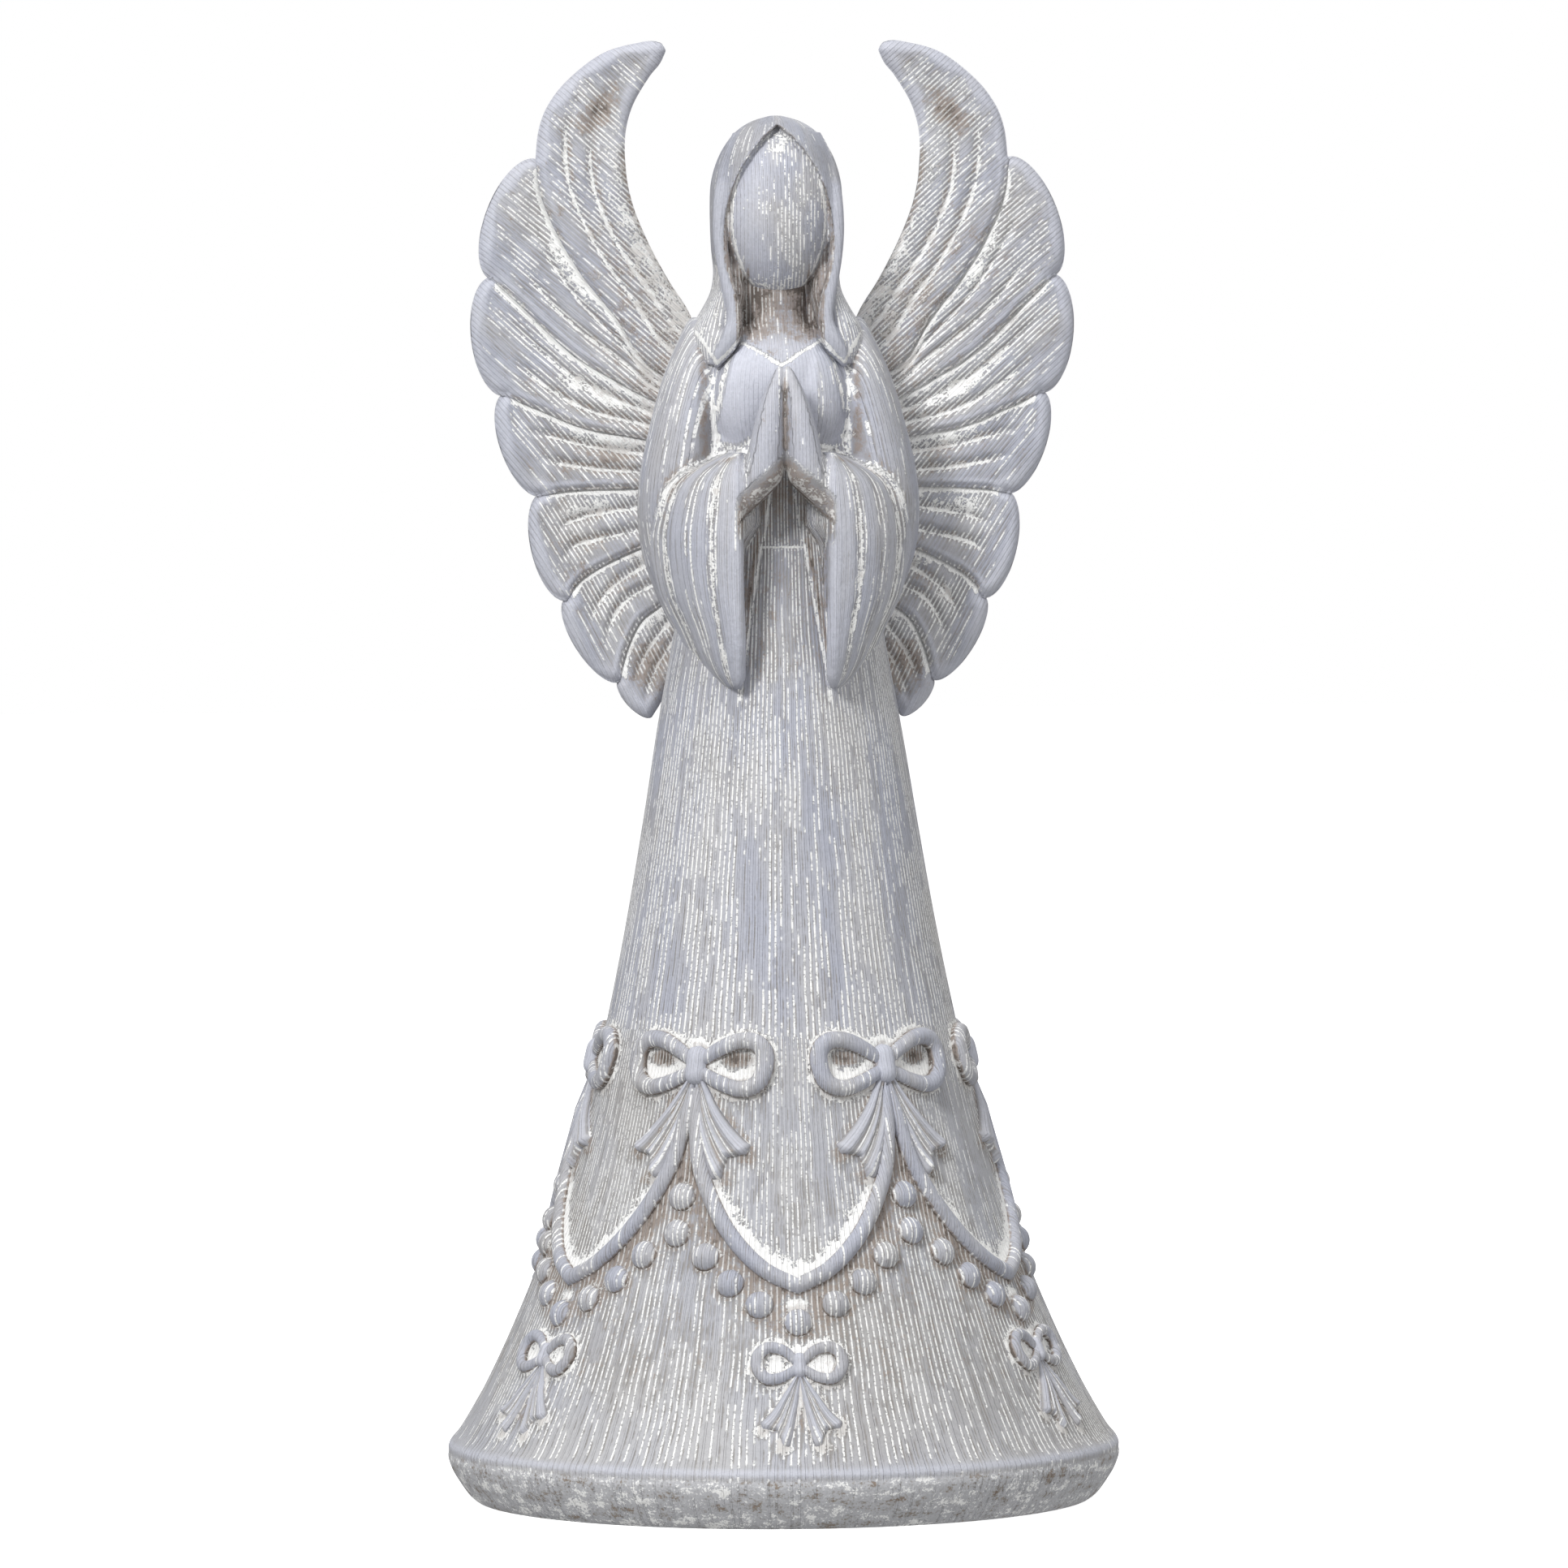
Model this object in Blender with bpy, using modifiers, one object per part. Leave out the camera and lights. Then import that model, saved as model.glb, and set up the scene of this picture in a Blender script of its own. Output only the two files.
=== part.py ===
"""Cemetery angel statue: one hollow-faced casting of a praying angel in a long flared dress.

The figure faces -Y, stands on z = 0 and has its origin at the middle of its underside.
It is one solid. Its carving is measured in thousandths of the statue's height.
"""

import math

import bmesh
import bpy
from mathutils import Matrix, Vector

# Driving sizes, in metres.
HEIGHT = 0.620
BASE_DIAMETER = 0.286
BASE_THICKNESS = 0.0246
VOXEL = HEIGHT / 365
TRIANGLE_SHARE = 0.0240

TH = HEIGHT / 1000.0
NAME = "angel_statue"
STONE_COLOUR = (0.56, 0.57, 0.62, 1.0)
STONE_ROUGHNESS = 0.85

# The dress: height and radius of its outline, above the base, in thousandths.
DRESS_OUTLINE = (
    (66, 211.6), (84, 201.9), (119.6, 185.2), (167, 165.7), (222.5, 146.8), (278, 131.3), (333, 118.5),
    (395, 106.0), (466, 93.7), (529, 83.5), (592, 72.0), (652, 61.0), (690, 58.0), (730, 57.0), (760, 46.0),
)
DRESS_TOP = 775
DRESS_STEPS = 64

# The ornaments on the dress: how often they repeat, and where they sit.
REPEATS = 6
REPEAT_DEG = 360 / REPEATS
HALF_REPEAT = REPEAT_DEG / 2
BOW_HEIGHT = 303
GARLAND = ((29.3, 288), (27.6, 257), (25.5, 235), (20.5, 209), (14.6, 187), (7.6, 169), (0, 158))
GARLAND_RADIUS = 5.6
PEAK_BEADS = ((0.0, 216), (0.0, 192))
SCALLOP_BEADS = ((21.8, 177), (15.3, 160), (8.4, 146), (0.0, 134.6), (-8.4, 146), (-15.3, 160), (-21.8, 177))
BEAD_RADIUS = 10.6
BEAD_SINK = 2.5

# Bows, in thousandths right of and above the knot, for the right-hand half.
BOW_LOOP = ((4, 4), (16, 11), (28, 14.5), (40, 13.5), (46.5, 6), (47, -3), (43, -12), (32, -15), (20, -12), (4, -4))
BOW_OUTER_TAIL = ((2, -9), (14, -33), (27, -49), (40, -58))
BOW_INNER_TAIL = ((2, -9), (8, -38), (17, -58), (27, -74))
BOW_KNOT = (7.5, 12.5)
BOW_TUBE = 5.8
SMALL_BOW_HEIGHT = 107
SMALL_BOW_LOOP = ((3, 3), (10, 9), (20, 11), (27, 6), (28, -2), (22, -9), (12, -8), (3, -3))
SMALL_BOW_OUTER_TAIL = ((1, -7), (9, -20), (17, -32), (25, -41))
SMALL_BOW_INNER_TAIL = ((1, -7), (4, -22), (8, -38), (13, -52))
SMALL_BOW_KNOT = (5, 8)
SMALL_BOW_TUBE = 4.2

# Level sections of a body form: height, middle x, half width, middle y, half depth.
HOOD = (
    (946, 0, 4, -2, 6), (942, 0, 17, -2, 19), (934, 0, 28.5, -2, 30), (920, 0, 38.4, -2, 38), (903, 0, 44.6, -1, 43),
    (885, 0, 46, -1, 45), (858, 0, 45, 0, 44), (840, 0, 43.3, 2, 42), (826, 0, 45, 5, 39), (814, 0, 51, 8, 38),
    (802, 0, 58, 8, 40), (788, 0, 61, 8, 43), (770, 0, 58, 8, 42), (750, 0, 44, 8, 36),
)
HOOD_SQUARENESS = 0.8
UPPER_ARM = (
    (809, 56, 2, 8, 6), (804, 56, 6, 6, 18), (792, 56, 12, 4, 30), (776, 57, 18, 0, 39), (759, 59, 22, -3, 43),
    (731, 64, 24.5, -6, 47), (703, 68, 26.5, -8, 50), (676, 69, 27.5, -9, 51), (648, 67, 26.5, -6, 47),
    (620, 60, 24, -2, 38), (596, 53, 19, 2, 28), (580, 50, 10, 4, 16),
)
# The hair falling from the hood onto the shoulder.
VEIL = (
    (850, 30, 7, -8, 12), (840, 31, 9.5, -10, 17), (826, 33, 11, -12, 21), (814, 37, 13, -12, 23),
    (802, 42, 15, -12, 25), (790, 44, 14, -14, 26), (776, 44, 9, -16, 24),
)
BACK = (
    (806, 0, 40, 14, 28), (790, 0, 58, 12, 40), (760, 0, 68, 8, 49), (720, 0, 72, 4, 54), (680, 0, 72, 2, 57),
    (640, 0, 70, 1, 61), (600, 0, 66, 0, 62),
)
# The hanging sleeve: height, outer reach in x, reach to the front, inner edge in x at the back.
SLEEVE = (
    (716, 37, -88, 24), (711, 50, -93, 17), (702, 69, -97, 13), (692, 79, -100, 12), (676, 85, -102, 11),
    (655, 88, -103, 11), (622, 83, -101, 15), (596, 71, -97, 20), (576, 57, -92, 25), (563, 46, -87, 28),
    (555, 38, -82, 31),
)
SLEEVE_EDGE = 32
SLEEVE_BACK = -48
SLEEVE_FOLDS = 4.5
SLEEVE_FOLD_DEPTH = 1.6
# A hand: height, middle x, half width, middle y, half depth.
HAND = (
    (775, 2.5, 1.2, -82, 2.5), (771, 3.5, 3.0, -83, 5), (765, 5.0, 4.9, -84, 8), (753, 7.8, 7.4, -86, 11),
    (741, 9.8, 9.3, -88, 13), (725, 12.0, 11.2, -89, 15), (708, 14.2, 13.0, -89, 16), (698, 16.5, 14.0, -88, 16),
    (689, 22.0, 12.5, -86, 14), (679, 28.5, 9.0, -84, 12), (670, 33.0, 5.5, -81, 9),
)
# A lock of hair beside the face: x, y, height, radius.
LOCK = (
    (38, -28, 892, 4.5), (39.5, -29, 870, 5.5), (39, -31, 852, 6), (36, -34, 838, 6.3), (33, -37, 826, 6.5),
    (30.5, -40, 814, 7), (30.5, -42, 804, 8), (34, -43, 794, 8.5), (39, -43, 786, 6.8), (42.5, -43, 779, 4),
    (44, -42, 774, 1.5),
)
# Outline of the hood's opening: x and height, from its point down its right side.
OPENING = ((0, 939), (11, 929), (21, 916), (29, 901), (33.5, 886), (35, 868), (33, 852), (27, 840), (22, 829), (23, 790))
OPENING_BACK = -6
OPENING_FRONT = -70
FACE_MIDDLE = (0, -14, 879)
FACE_REACH = (33, 34, 51)
FOREHEAD_MIDDLE = (0, -6, 896)
FOREHEAD_REACH = (24, 33, 44)
NECK = ((858, 0, 19, -10, 17), (830, 0, 19, -10, 17), (800, 0, 21, -10, 19), (770, 0, 30, -12, 28))
# The chest: eggs given by their middle and their reach, and the edge of the neckline.
CHEST_MIDDLE = (0, -12, 764)
CHEST_REACH = (47, 47, 43)
RIBS_MIDDLE = (0, -8, 750)
RIBS_REACH = (66, 46, 58)
BREAST_MIDDLE = (22, -37, 752)
BREAST_REACH = (23.5, 21, 36)
NECKLINE = ((26, -41, 791), (14, -52, 784), (0, -58, 775), (-14, -52, 784), (-26, -41, 791))
NECKLINE_RADIUS = 3
BELT_LEVEL = 652
BELT_DEG = 30
BELT_RADIUS = 1.8

# The wing: the lines between its feathers, from the root out, as x and height.
FEATHER_LINES = (
    ((50, 792), (59.8, 813.7), (71.2, 831.5), (81.2, 849.3), (89.8, 867), (96.8, 885), (101, 902.7), (102.6, 920.5)),
    ((50, 760), (85.6, 776), (107.9, 809), (130, 837), (146.8, 865), (158.5, 893), (162, 917)),
    ((48, 738), (85.6, 753.7), (107.9, 766), (141, 787), (174.6, 820), (193, 837)),
    ((46, 715), (88.4, 725.8), (130, 734), (163.5, 748), (184.6, 757)),
    ((46, 693), (91, 692.5), (141, 691.4), (160, 688)),
    ((46, 668), (91, 652.4), (119, 639.6), (135.7, 628.5), (143.5, 616)),
    ((50, 635), (80, 611.8), (94, 600.7), (103.5, 581), (108, 560)),
    ((60, 590), (72, 560), (80, 545), (86, 535)),
)
FEATHER_BULGES = (20, 19, 16, 16, 13, 7)
# The top feather's horn: its inner and outer edge, from the level of the first notch to the tip.
HORN_INNER = ((102.6, 920.5), (101.5, 938.3), (96.2, 956), (85.4, 974), (77.6, 983.5), (72.3, 994))
HORN_OUTER = ((162, 917), (159.6, 938.3), (152.7, 956), (138, 974), (113.2, 991.7), (80, 1000))
WING_MIDDLE = 24
WING_SWEEP = 0.12
FEATHER_FRONT = 8.5
FEATHER_BACK = 7
FEATHER_STEPS = 9
END_STEPS = 4


def place(x, y, z):
    """A point given in thousandths of the height, in metres."""
    return Vector((x, y, z)) * TH


def smooth(points, count):
    """Evenly spread samples of a Catmull-Rom curve through points of any dimension."""
    points = [Vector(p) for p in points]
    ends = [2 * points[0] - points[1], *points, 2 * points[-1] - points[-2]]
    samples = []
    for i in range(count):
        place_along = i * (len(points) - 1) / (count - 1)
        k = min(int(place_along), len(points) - 2)
        t = place_along - k
        a, b, c, d = ends[k:k + 4]
        samples.append(
            0.5 * (2 * b + (c - a) * t + (2 * a - 5 * b + 4 * c - d) * t**2 + (3 * b - a - 3 * c + d) * t**3)
        )
    return samples


def between(table, height):
    """Linear reading of a table of (height, value) pairs, in rising order."""
    for (low, first), (high, second) in zip(table, table[1:]):
        if height <= high:
            return first + (second - first) * (height - low) / (high - low)
    return table[-1][1]


# The outline from the ground up: the rounded base, then the flaring dress.
BASE_RADIUS = BASE_DIAMETER / 2 / TH
BASE_EDGE = BASE_THICKNESS / TH
BASE_OUTLINE = (
    (0, 0.915 * BASE_RADIUS), (0.1 * BASE_EDGE, 0.937 * BASE_RADIUS), (0.32 * BASE_EDGE, 0.965 * BASE_RADIUS),
    (0.55 * BASE_EDGE, 0.988 * BASE_RADIUS), (0.8 * BASE_EDGE, BASE_RADIUS), (BASE_EDGE, 0.993 * BASE_RADIUS),
    (1.22 * BASE_EDGE, 0.963 * BASE_RADIUS),
)
OUTLINE = tuple((p.x, p.y) for p in smooth(BASE_OUTLINE + DRESS_OUTLINE, 90))


def on_dress(angle_deg, height, lift=0.0):
    """A point on the dress, lifted off it: the angle is 0 at the front and grows towards +X."""
    radius = between(OUTLINE, height)
    flare = between(OUTLINE, height - 2) - between(OUTLINE, height + 2)
    normal = Vector((4, flare)).normalized() * lift
    angle = math.radians(angle_deg)
    return place((radius + normal.x) * math.sin(angle), -(radius + normal.x) * math.cos(angle), height + normal.y)


def new_object(name, data):
    made = bpy.data.objects.new(name, data)
    forms.objects.link(made)
    return made


def loft(name, rings):
    """A closed solid through rings of the same number of points, capped at both ends."""
    mesh = bmesh.new()
    made = [[mesh.verts.new(p) for p in ring] for ring in rings]
    for low, high in zip(made, made[1:]):
        for i in range(len(low)):
            j = (i + 1) % len(low)
            mesh.faces.new((low[i], low[j], high[j], high[i]))
    mesh.faces.new(made[0])
    mesh.faces.new(made[-1])
    bmesh.ops.recalc_face_normals(mesh, faces=mesh.faces)
    data = bpy.data.meshes.new(name)
    mesh.to_mesh(data)
    mesh.free()
    return new_object(name, data)


def level_loft(name, sections, side=1, sides=20, steps=24, power=1.0):
    """A form through level ellipses: height, middle x, half width, middle y, half depth. Power squares them."""
    rings = []
    for height, middle_x, half_x, middle_y, half_y in smooth_rows(sections, steps):
        ring = []
        for i in range(sides):
            turn = 2 * math.pi * i / sides
            across = math.copysign(abs(math.cos(turn)) ** power, math.cos(turn))
            ahead = math.copysign(abs(math.sin(turn)) ** power, math.sin(turn))
            ring.append(place(side * (middle_x + half_x * across), middle_y + half_y * ahead, height))
        rings.append(ring)
    return loft(name, rings)


def smooth_rows(rows, count):
    """The rows of a table, read smoothly at count places."""
    columns = [[p.y for p in smooth([(i, row[k]) for i, row in enumerate(rows)], count)] for k in range(len(rows[0]))]
    return list(zip(*columns))


def tube(name, points, radii, sides=2):
    """A round rod along points in metres, with a radius in thousandths at each of them."""
    data = bpy.data.curves.new(name, "CURVE")
    data.dimensions = "3D"
    data.bevel_depth = TH
    data.bevel_resolution = sides
    data.use_fill_caps = True
    spline = data.splines.new("POLY")
    spline.points.add(len(points) - 1)
    for point, position, radius in zip(spline.points, points, radii):
        point.co = (*position, 1)
        point.radius = radius
    return new_object(name, data)


def ball(name, middle, reach, segments=16, rings=10):
    """An egg with its middle and its reach along each axis in thousandths."""
    mesh = bmesh.new()
    bmesh.ops.create_uvsphere(mesh, u_segments=segments, v_segments=rings, radius=1)
    mesh.transform(Matrix.Translation(place(*middle)) @ Matrix.Diagonal((*place(*reach), 1)))
    data = bpy.data.meshes.new(name)
    mesh.to_mesh(data)
    mesh.free()
    return new_object(name, data)


def dress():
    """The body of the dress, turned from its outline, from the top down."""
    profile = bmesh.new()
    points = [place(0, 0, DRESS_TOP)]
    points += [place(radius, 0, height) for height, radius in reversed(OUTLINE)]
    points.append(place(0, 0, 0))
    rim = [profile.verts.new(p) for p in points]
    for first, second in zip(rim, rim[1:]):
        profile.edges.new((first, second))
    data = bpy.data.meshes.new("dress")
    profile.to_mesh(data)
    profile.free()
    made = new_object("dress", data)
    screw = made.modifiers.new("turn", "SCREW")
    screw.steps = screw.render_steps = DRESS_STEPS
    screw.use_merge_vertices = True
    screw.merge_threshold = 0.00005
    return made


def bow(name, middle_deg, knot_height, loop, tails, knot, radius):
    """A ribbon bow lying on the dress: two loops, a knot and two forked tails."""
    def spot(right, up, lift):
        height = knot_height + up
        return on_dress(middle_deg + math.degrees(right / between(OUTLINE, height)), height, lift)

    for side in (-1, 1):
        path = [spot(side * p.x, p.y, 0.8) for p in smooth(loop, 22)]
        tube(f"{name}_loop", path, [radius] * len(path))
        for tail in tails:
            path = [spot(side * p.x, p.y, 0.3) for p in smooth(tail, 8)]
            radii = [radius * share for share in (0.45, 0.55, 0.65, 0.75, 0.8, 0.75, 0.55, 0.15)]
            tube(f"{name}_tail", path, radii)
    middle = spot(0, 0, 1.5) / TH
    made = ball(f"{name}_knot", (0, 0, 0), (knot[0], 1.5 * radius, knot[1]), 12, 8)
    made.location = middle * TH
    made.rotation_euler.z = math.radians(middle_deg)


def ornaments():
    """The ring of bows, garlands, beads and small bows round the dress."""
    for k in range(REPEATS):
        valley = k * REPEAT_DEG
        peak = valley + HALF_REPEAT
        bow("bow", peak, BOW_HEIGHT, BOW_LOOP, (BOW_OUTER_TAIL, BOW_INNER_TAIL), BOW_KNOT, BOW_TUBE)
        bow(
            "small_bow", valley, SMALL_BOW_HEIGHT, SMALL_BOW_LOOP,
            (SMALL_BOW_OUTER_TAIL, SMALL_BOW_INNER_TAIL), SMALL_BOW_KNOT, SMALL_BOW_TUBE,
        )
        for side in (-1, 1):
            path = [on_dress(valley + side * p.x, p.y, 0.6) for p in smooth(GARLAND, 18)]
            tube("garland", path, [GARLAND_RADIUS] * len(path))
        beads = [(peak + turn, height) for turn, height in PEAK_BEADS]
        beads += [(valley + turn, height) for turn, height in SCALLOP_BEADS]
        for angle, height in beads:
            middle = on_dress(angle, height, -BEAD_SINK) / TH
            ball("bead", middle, (BEAD_RADIUS,) * 3, 12, 8)


def hood():
    """The hood of hair, cut open for the face, with the face set into the opening."""
    shell = level_loft("hood", HOOD, sides=40, steps=34, power=HOOD_SQUARENESS)
    outline = [(x, z) for x, z in OPENING] + [(-x, z) for x, z in reversed(OPENING[1:])]
    cutter = loft("opening", [[place(x, y, z) for x, z in outline] for y in (OPENING_BACK, OPENING_FRONT)])
    cutter.hide_render = True
    cut = shell.modifiers.new("opening", "BOOLEAN")
    cut.operation = "DIFFERENCE"
    cut.object = cutter
    ball("face", FACE_MIDDLE, FACE_REACH, 24, 16)
    ball("forehead", FOREHEAD_MIDDLE, FOREHEAD_REACH, 20, 14)
    level_loft("neck", NECK)
    for side in (-1, 1):
        lock = smooth_rows(LOCK, 24)
        tube("lock", [place(side * x, y, z) for x, y, z, _ in lock], [row[3] for row in lock])
        level_loft("veil", VEIL, side)


def bodice():
    """The chest: its two sides, the edge of its neckline and the belt."""
    path = [place(*p) for p in NECKLINE]
    tube("neckline", path, [NECKLINE_RADIUS] * len(path))
    ball("chest", CHEST_MIDDLE, CHEST_REACH, 20, 12)
    ball("ribs", RIBS_MIDDLE, RIBS_REACH, 20, 12)
    for side in (-1, 1):
        ball("breast", (side * BREAST_MIDDLE[0], *BREAST_MIDDLE[1:]), BREAST_REACH)
    belt = [on_dress(BELT_DEG * step / 3, BELT_LEVEL, 0.2) for step in range(-3, 4)]
    tube("belt", belt, [BELT_RADIUS] * len(belt))


def sleeve_ring(side, row):
    """A level section of a hanging sleeve, round from its front edge past its outside to its inner edge."""
    height, outer, front, inner = row
    points = []
    steps = 14
    for i in range(steps + 1):
        share = i / steps
        turn = share * math.pi / 2
        fold = SLEEVE_FOLD_DEPTH * math.cos(2 * math.pi * SLEEVE_FOLDS * share) * min(1, (outer - SLEEVE_EDGE) / 30)
        x = SLEEVE_EDGE + (outer - SLEEVE_EDGE) * math.sin(turn) + fold * math.sin(turn)
        y = -12 + (front + 12) * math.cos(turn) ** 0.9 - fold * math.cos(turn)
        points.append((x, y))
    points += [(0.85 * outer, 4), (0.6 * outer, 8), (inner, SLEEVE_BACK + 10), (inner, SLEEVE_BACK)]
    points.append((0.5 * (inner + SLEEVE_EDGE), 0.5 * (SLEEVE_BACK + front)))
    points.append((SLEEVE_EDGE - 2.5, front + 6))
    return [place(side * x, y, height) for x, y in points]


def robe():
    """The shoulders, upper arms, hanging sleeves and praying hands."""
    level_loft("back", BACK, sides=28)
    for side in (-1, 1):
        level_loft("upper_arm", UPPER_ARM, side)
        loft("sleeve", [sleeve_ring(side, row) for row in smooth_rows(SLEEVE, 26)])
        level_loft("hand", HAND, side, sides=12, steps=16)


def feather(side, upper, lower, bulge):
    """One feather, between the lines above and below it, with a round end past its notches."""
    rings = []
    for i in range(FEATHER_STEPS + END_STEPS):
        if i < FEATHER_STEPS:
            top, bottom = upper[i], lower[i]
        else:
            turn = (i - FEATHER_STEPS + 1) / (END_STEPS + 0.35) * math.pi / 2
            chord = upper[-1] - lower[-1]
            out = Vector((chord.y, -chord.x)).normalized()
            middle = (upper[-1] + lower[-1]) / 2 + out * bulge * math.sin(turn)
            top, bottom = middle + chord / 2 * math.cos(turn), middle - chord / 2 * math.cos(turn)
        rings.append(feather_ring(side, top, bottom))
    loft("feather", rings)


def feather_ring(side, top, bottom):
    """A section across a feather: full in front, with a round edge, and flatter behind."""
    middle, half = (top + bottom) / 2, (top - bottom) / 2 * 1.03
    full = min(1.0, half.length / 12)
    section = [(1, 0), (0.9, -0.62), (0.55, -0.93), (0, -1), (-0.55, -0.93), (-0.9, -0.62), (-1, 0)]
    section += [(-0.85, 0.75), (-0.3, 1), (0.3, 1), (0.85, 0.75)]
    ring = []
    for across, depth in section:
        spot = middle + half * across
        thickness = (FEATHER_FRONT if depth < 0 else FEATHER_BACK) * full
        ring.append(place(side * spot.x, WING_MIDDLE + WING_SWEEP * spot.x + depth * thickness, spot.y))
    return ring


def wings():
    """Two wings of seven overlapping feathers, the top one ending in a horn."""
    lines = [smooth(line, FEATHER_STEPS) for line in FEATHER_LINES]
    for side in (-1, 1):
        for i, bulge in enumerate(FEATHER_BULGES):
            feather(side, lines[i + 1], lines[i + 2], bulge)
        inner = lines[0] + smooth(HORN_INNER, 8)[1:]
        outer = lines[1] + smooth(HORN_OUTER, 8)[1:]
        loft("horn", [feather_ring(side, a, b) for a, b in zip(inner, outer)])


def cast(collection):
    """All the forms fused into one solid with soft creases and a flat underside."""
    graph = bpy.context.evaluated_depsgraph_get()
    merged = bmesh.new()
    for form in [o for o in forms.objects if not o.hide_render]:
        evaluated = form.evaluated_get(graph)
        data = bpy.data.meshes.new_from_object(evaluated)
        data.transform(form.matrix_world)
        merged.from_mesh(data)
        bpy.data.meshes.remove(data)
    bmesh.ops.remove_doubles(merged, verts=merged.verts, dist=1e-6)
    data = bpy.data.meshes.new(NAME)
    merged.to_mesh(data)
    merged.free()
    for form in list(forms.objects):
        bpy.data.objects.remove(form)
    statue = bpy.data.objects.new(NAME, data)
    collection.objects.link(statue)
    return statue


def finish_casting(statue, cutters):
    """Modifiers that fuse the forms, soften their creases, thin the facets and flatten the foot."""
    fuse = statue.modifiers.new("fuse", "REMESH")
    fuse.mode = "VOXEL"
    fuse.voxel_size = VOXEL
    soften = statue.modifiers.new("soften", "SMOOTH")
    soften.factor = 0.5
    soften.iterations = 2
    thin = statue.modifiers.new("thin", "DECIMATE")
    thin.ratio = TRIANGLE_SHARE
    ground = bmesh.new()
    bmesh.ops.create_cube(ground, size=1)
    ground.transform(Matrix.Diagonal((2 * HEIGHT, 2 * HEIGHT, HEIGHT, 1)))
    data = bpy.data.meshes.new("ground")
    ground.to_mesh(data)
    ground.free()
    cutter = bpy.data.objects.new("ground", data)
    cutter.location.z = -HEIGHT / 2
    cutter.hide_render = True
    cutter.display_type = "WIRE"
    cutters.objects.link(cutter)
    foot = statue.modifiers.new("foot", "BOOLEAN")
    foot.operation = "DIFFERENCE"
    foot.object = cutter


def stone():
    """The washed grey of the casting."""
    material = bpy.data.materials.new("grey_stone")
    material.use_nodes = True
    shader = material.node_tree.nodes["Principled BSDF"]
    shader.inputs["Base Color"].default_value = STONE_COLOUR
    shader.inputs["Roughness"].default_value = STONE_ROUGHNESS
    return material


def new_collection(name):
    made = bpy.data.collections.new(name)
    bpy.context.scene.collection.children.link(made)
    return made


for leftover in list(bpy.data.objects):
    bpy.data.objects.remove(leftover)
forms = new_collection("carving_forms")
dress()
ornaments()
hood()
bodice()
robe()
wings()
bpy.context.view_layer.update()
angel = cast(new_collection(NAME))
finish_casting(angel, new_collection("cutters"))
angel.data.materials.append(stone())
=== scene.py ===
"""Visual model of the cemetery angel statue.

One casting, shown as pieces that keep the solid's form: the dress with its ring of ornaments, the
head, the figure and the two wings. Lengths are in thousandths of the statue's height until a mesh is made.
"""

import math

import bmesh
import bpy
import numpy as np
from mathutils import Matrix, Vector


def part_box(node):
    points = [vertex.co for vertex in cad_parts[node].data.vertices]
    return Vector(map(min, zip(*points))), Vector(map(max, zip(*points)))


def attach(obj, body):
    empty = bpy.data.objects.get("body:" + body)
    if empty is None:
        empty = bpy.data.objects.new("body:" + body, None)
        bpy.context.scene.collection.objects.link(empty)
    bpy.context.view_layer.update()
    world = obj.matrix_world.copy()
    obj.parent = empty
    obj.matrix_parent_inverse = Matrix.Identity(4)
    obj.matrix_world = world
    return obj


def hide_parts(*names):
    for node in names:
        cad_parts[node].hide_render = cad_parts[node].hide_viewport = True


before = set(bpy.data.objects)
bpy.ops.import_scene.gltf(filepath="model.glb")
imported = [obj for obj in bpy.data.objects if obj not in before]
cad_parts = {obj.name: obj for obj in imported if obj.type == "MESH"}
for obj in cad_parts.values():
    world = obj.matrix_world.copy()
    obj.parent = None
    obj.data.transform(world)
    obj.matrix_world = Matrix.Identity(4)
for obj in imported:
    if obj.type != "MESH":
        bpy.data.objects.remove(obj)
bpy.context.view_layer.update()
NODE = "angel_statue"

# The solid's top in thousandths of the statue's height, and a thousandth in metres.
SOLID_TOP = 999.4
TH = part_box(NODE)[1][2] / SOLID_TOP

# The dress: height and radius of its outline, from the ground up.
BASE_RADIUS = 230.6
BASE_EDGE = 39.7
BASE_OUTLINE = (
    (0, 0.915 * BASE_RADIUS), (0.1 * BASE_EDGE, 0.937 * BASE_RADIUS),
    (0.32 * BASE_EDGE, 0.965 * BASE_RADIUS), (0.55 * BASE_EDGE, 0.988 * BASE_RADIUS),
    (0.8 * BASE_EDGE, BASE_RADIUS), (BASE_EDGE, 0.993 * BASE_RADIUS),
    (1.22 * BASE_EDGE, 0.963 * BASE_RADIUS),
)
DRESS_OUTLINE = (
    (66, 211.6), (84, 201.9), (119.6, 185.2), (167, 165.7), (222.5, 146.8), (278, 131.3), (333, 118.5),
    (395, 106.0), (466, 93.7), (529, 83.5), (592, 72.0), (652, 61.0), (690, 58.0), (730, 57.0), (760, 46.0),
)
DRESS_TOP = 722
DECKED = (40, 340)
DRESS_COLUMNS = 432
DRESS_ROWS = ((0, 44, 24), (46.4, 335, 118), (339, 540, 38), (544, 645, 24), (648, 656, 9), (660, 715, 13))
PANEL = ((14.7, 653), (27.5, 572), (31, 548))
PANEL_TOP = 655
PANEL_FOOT = 548
BELT_LEVEL = 652

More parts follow.
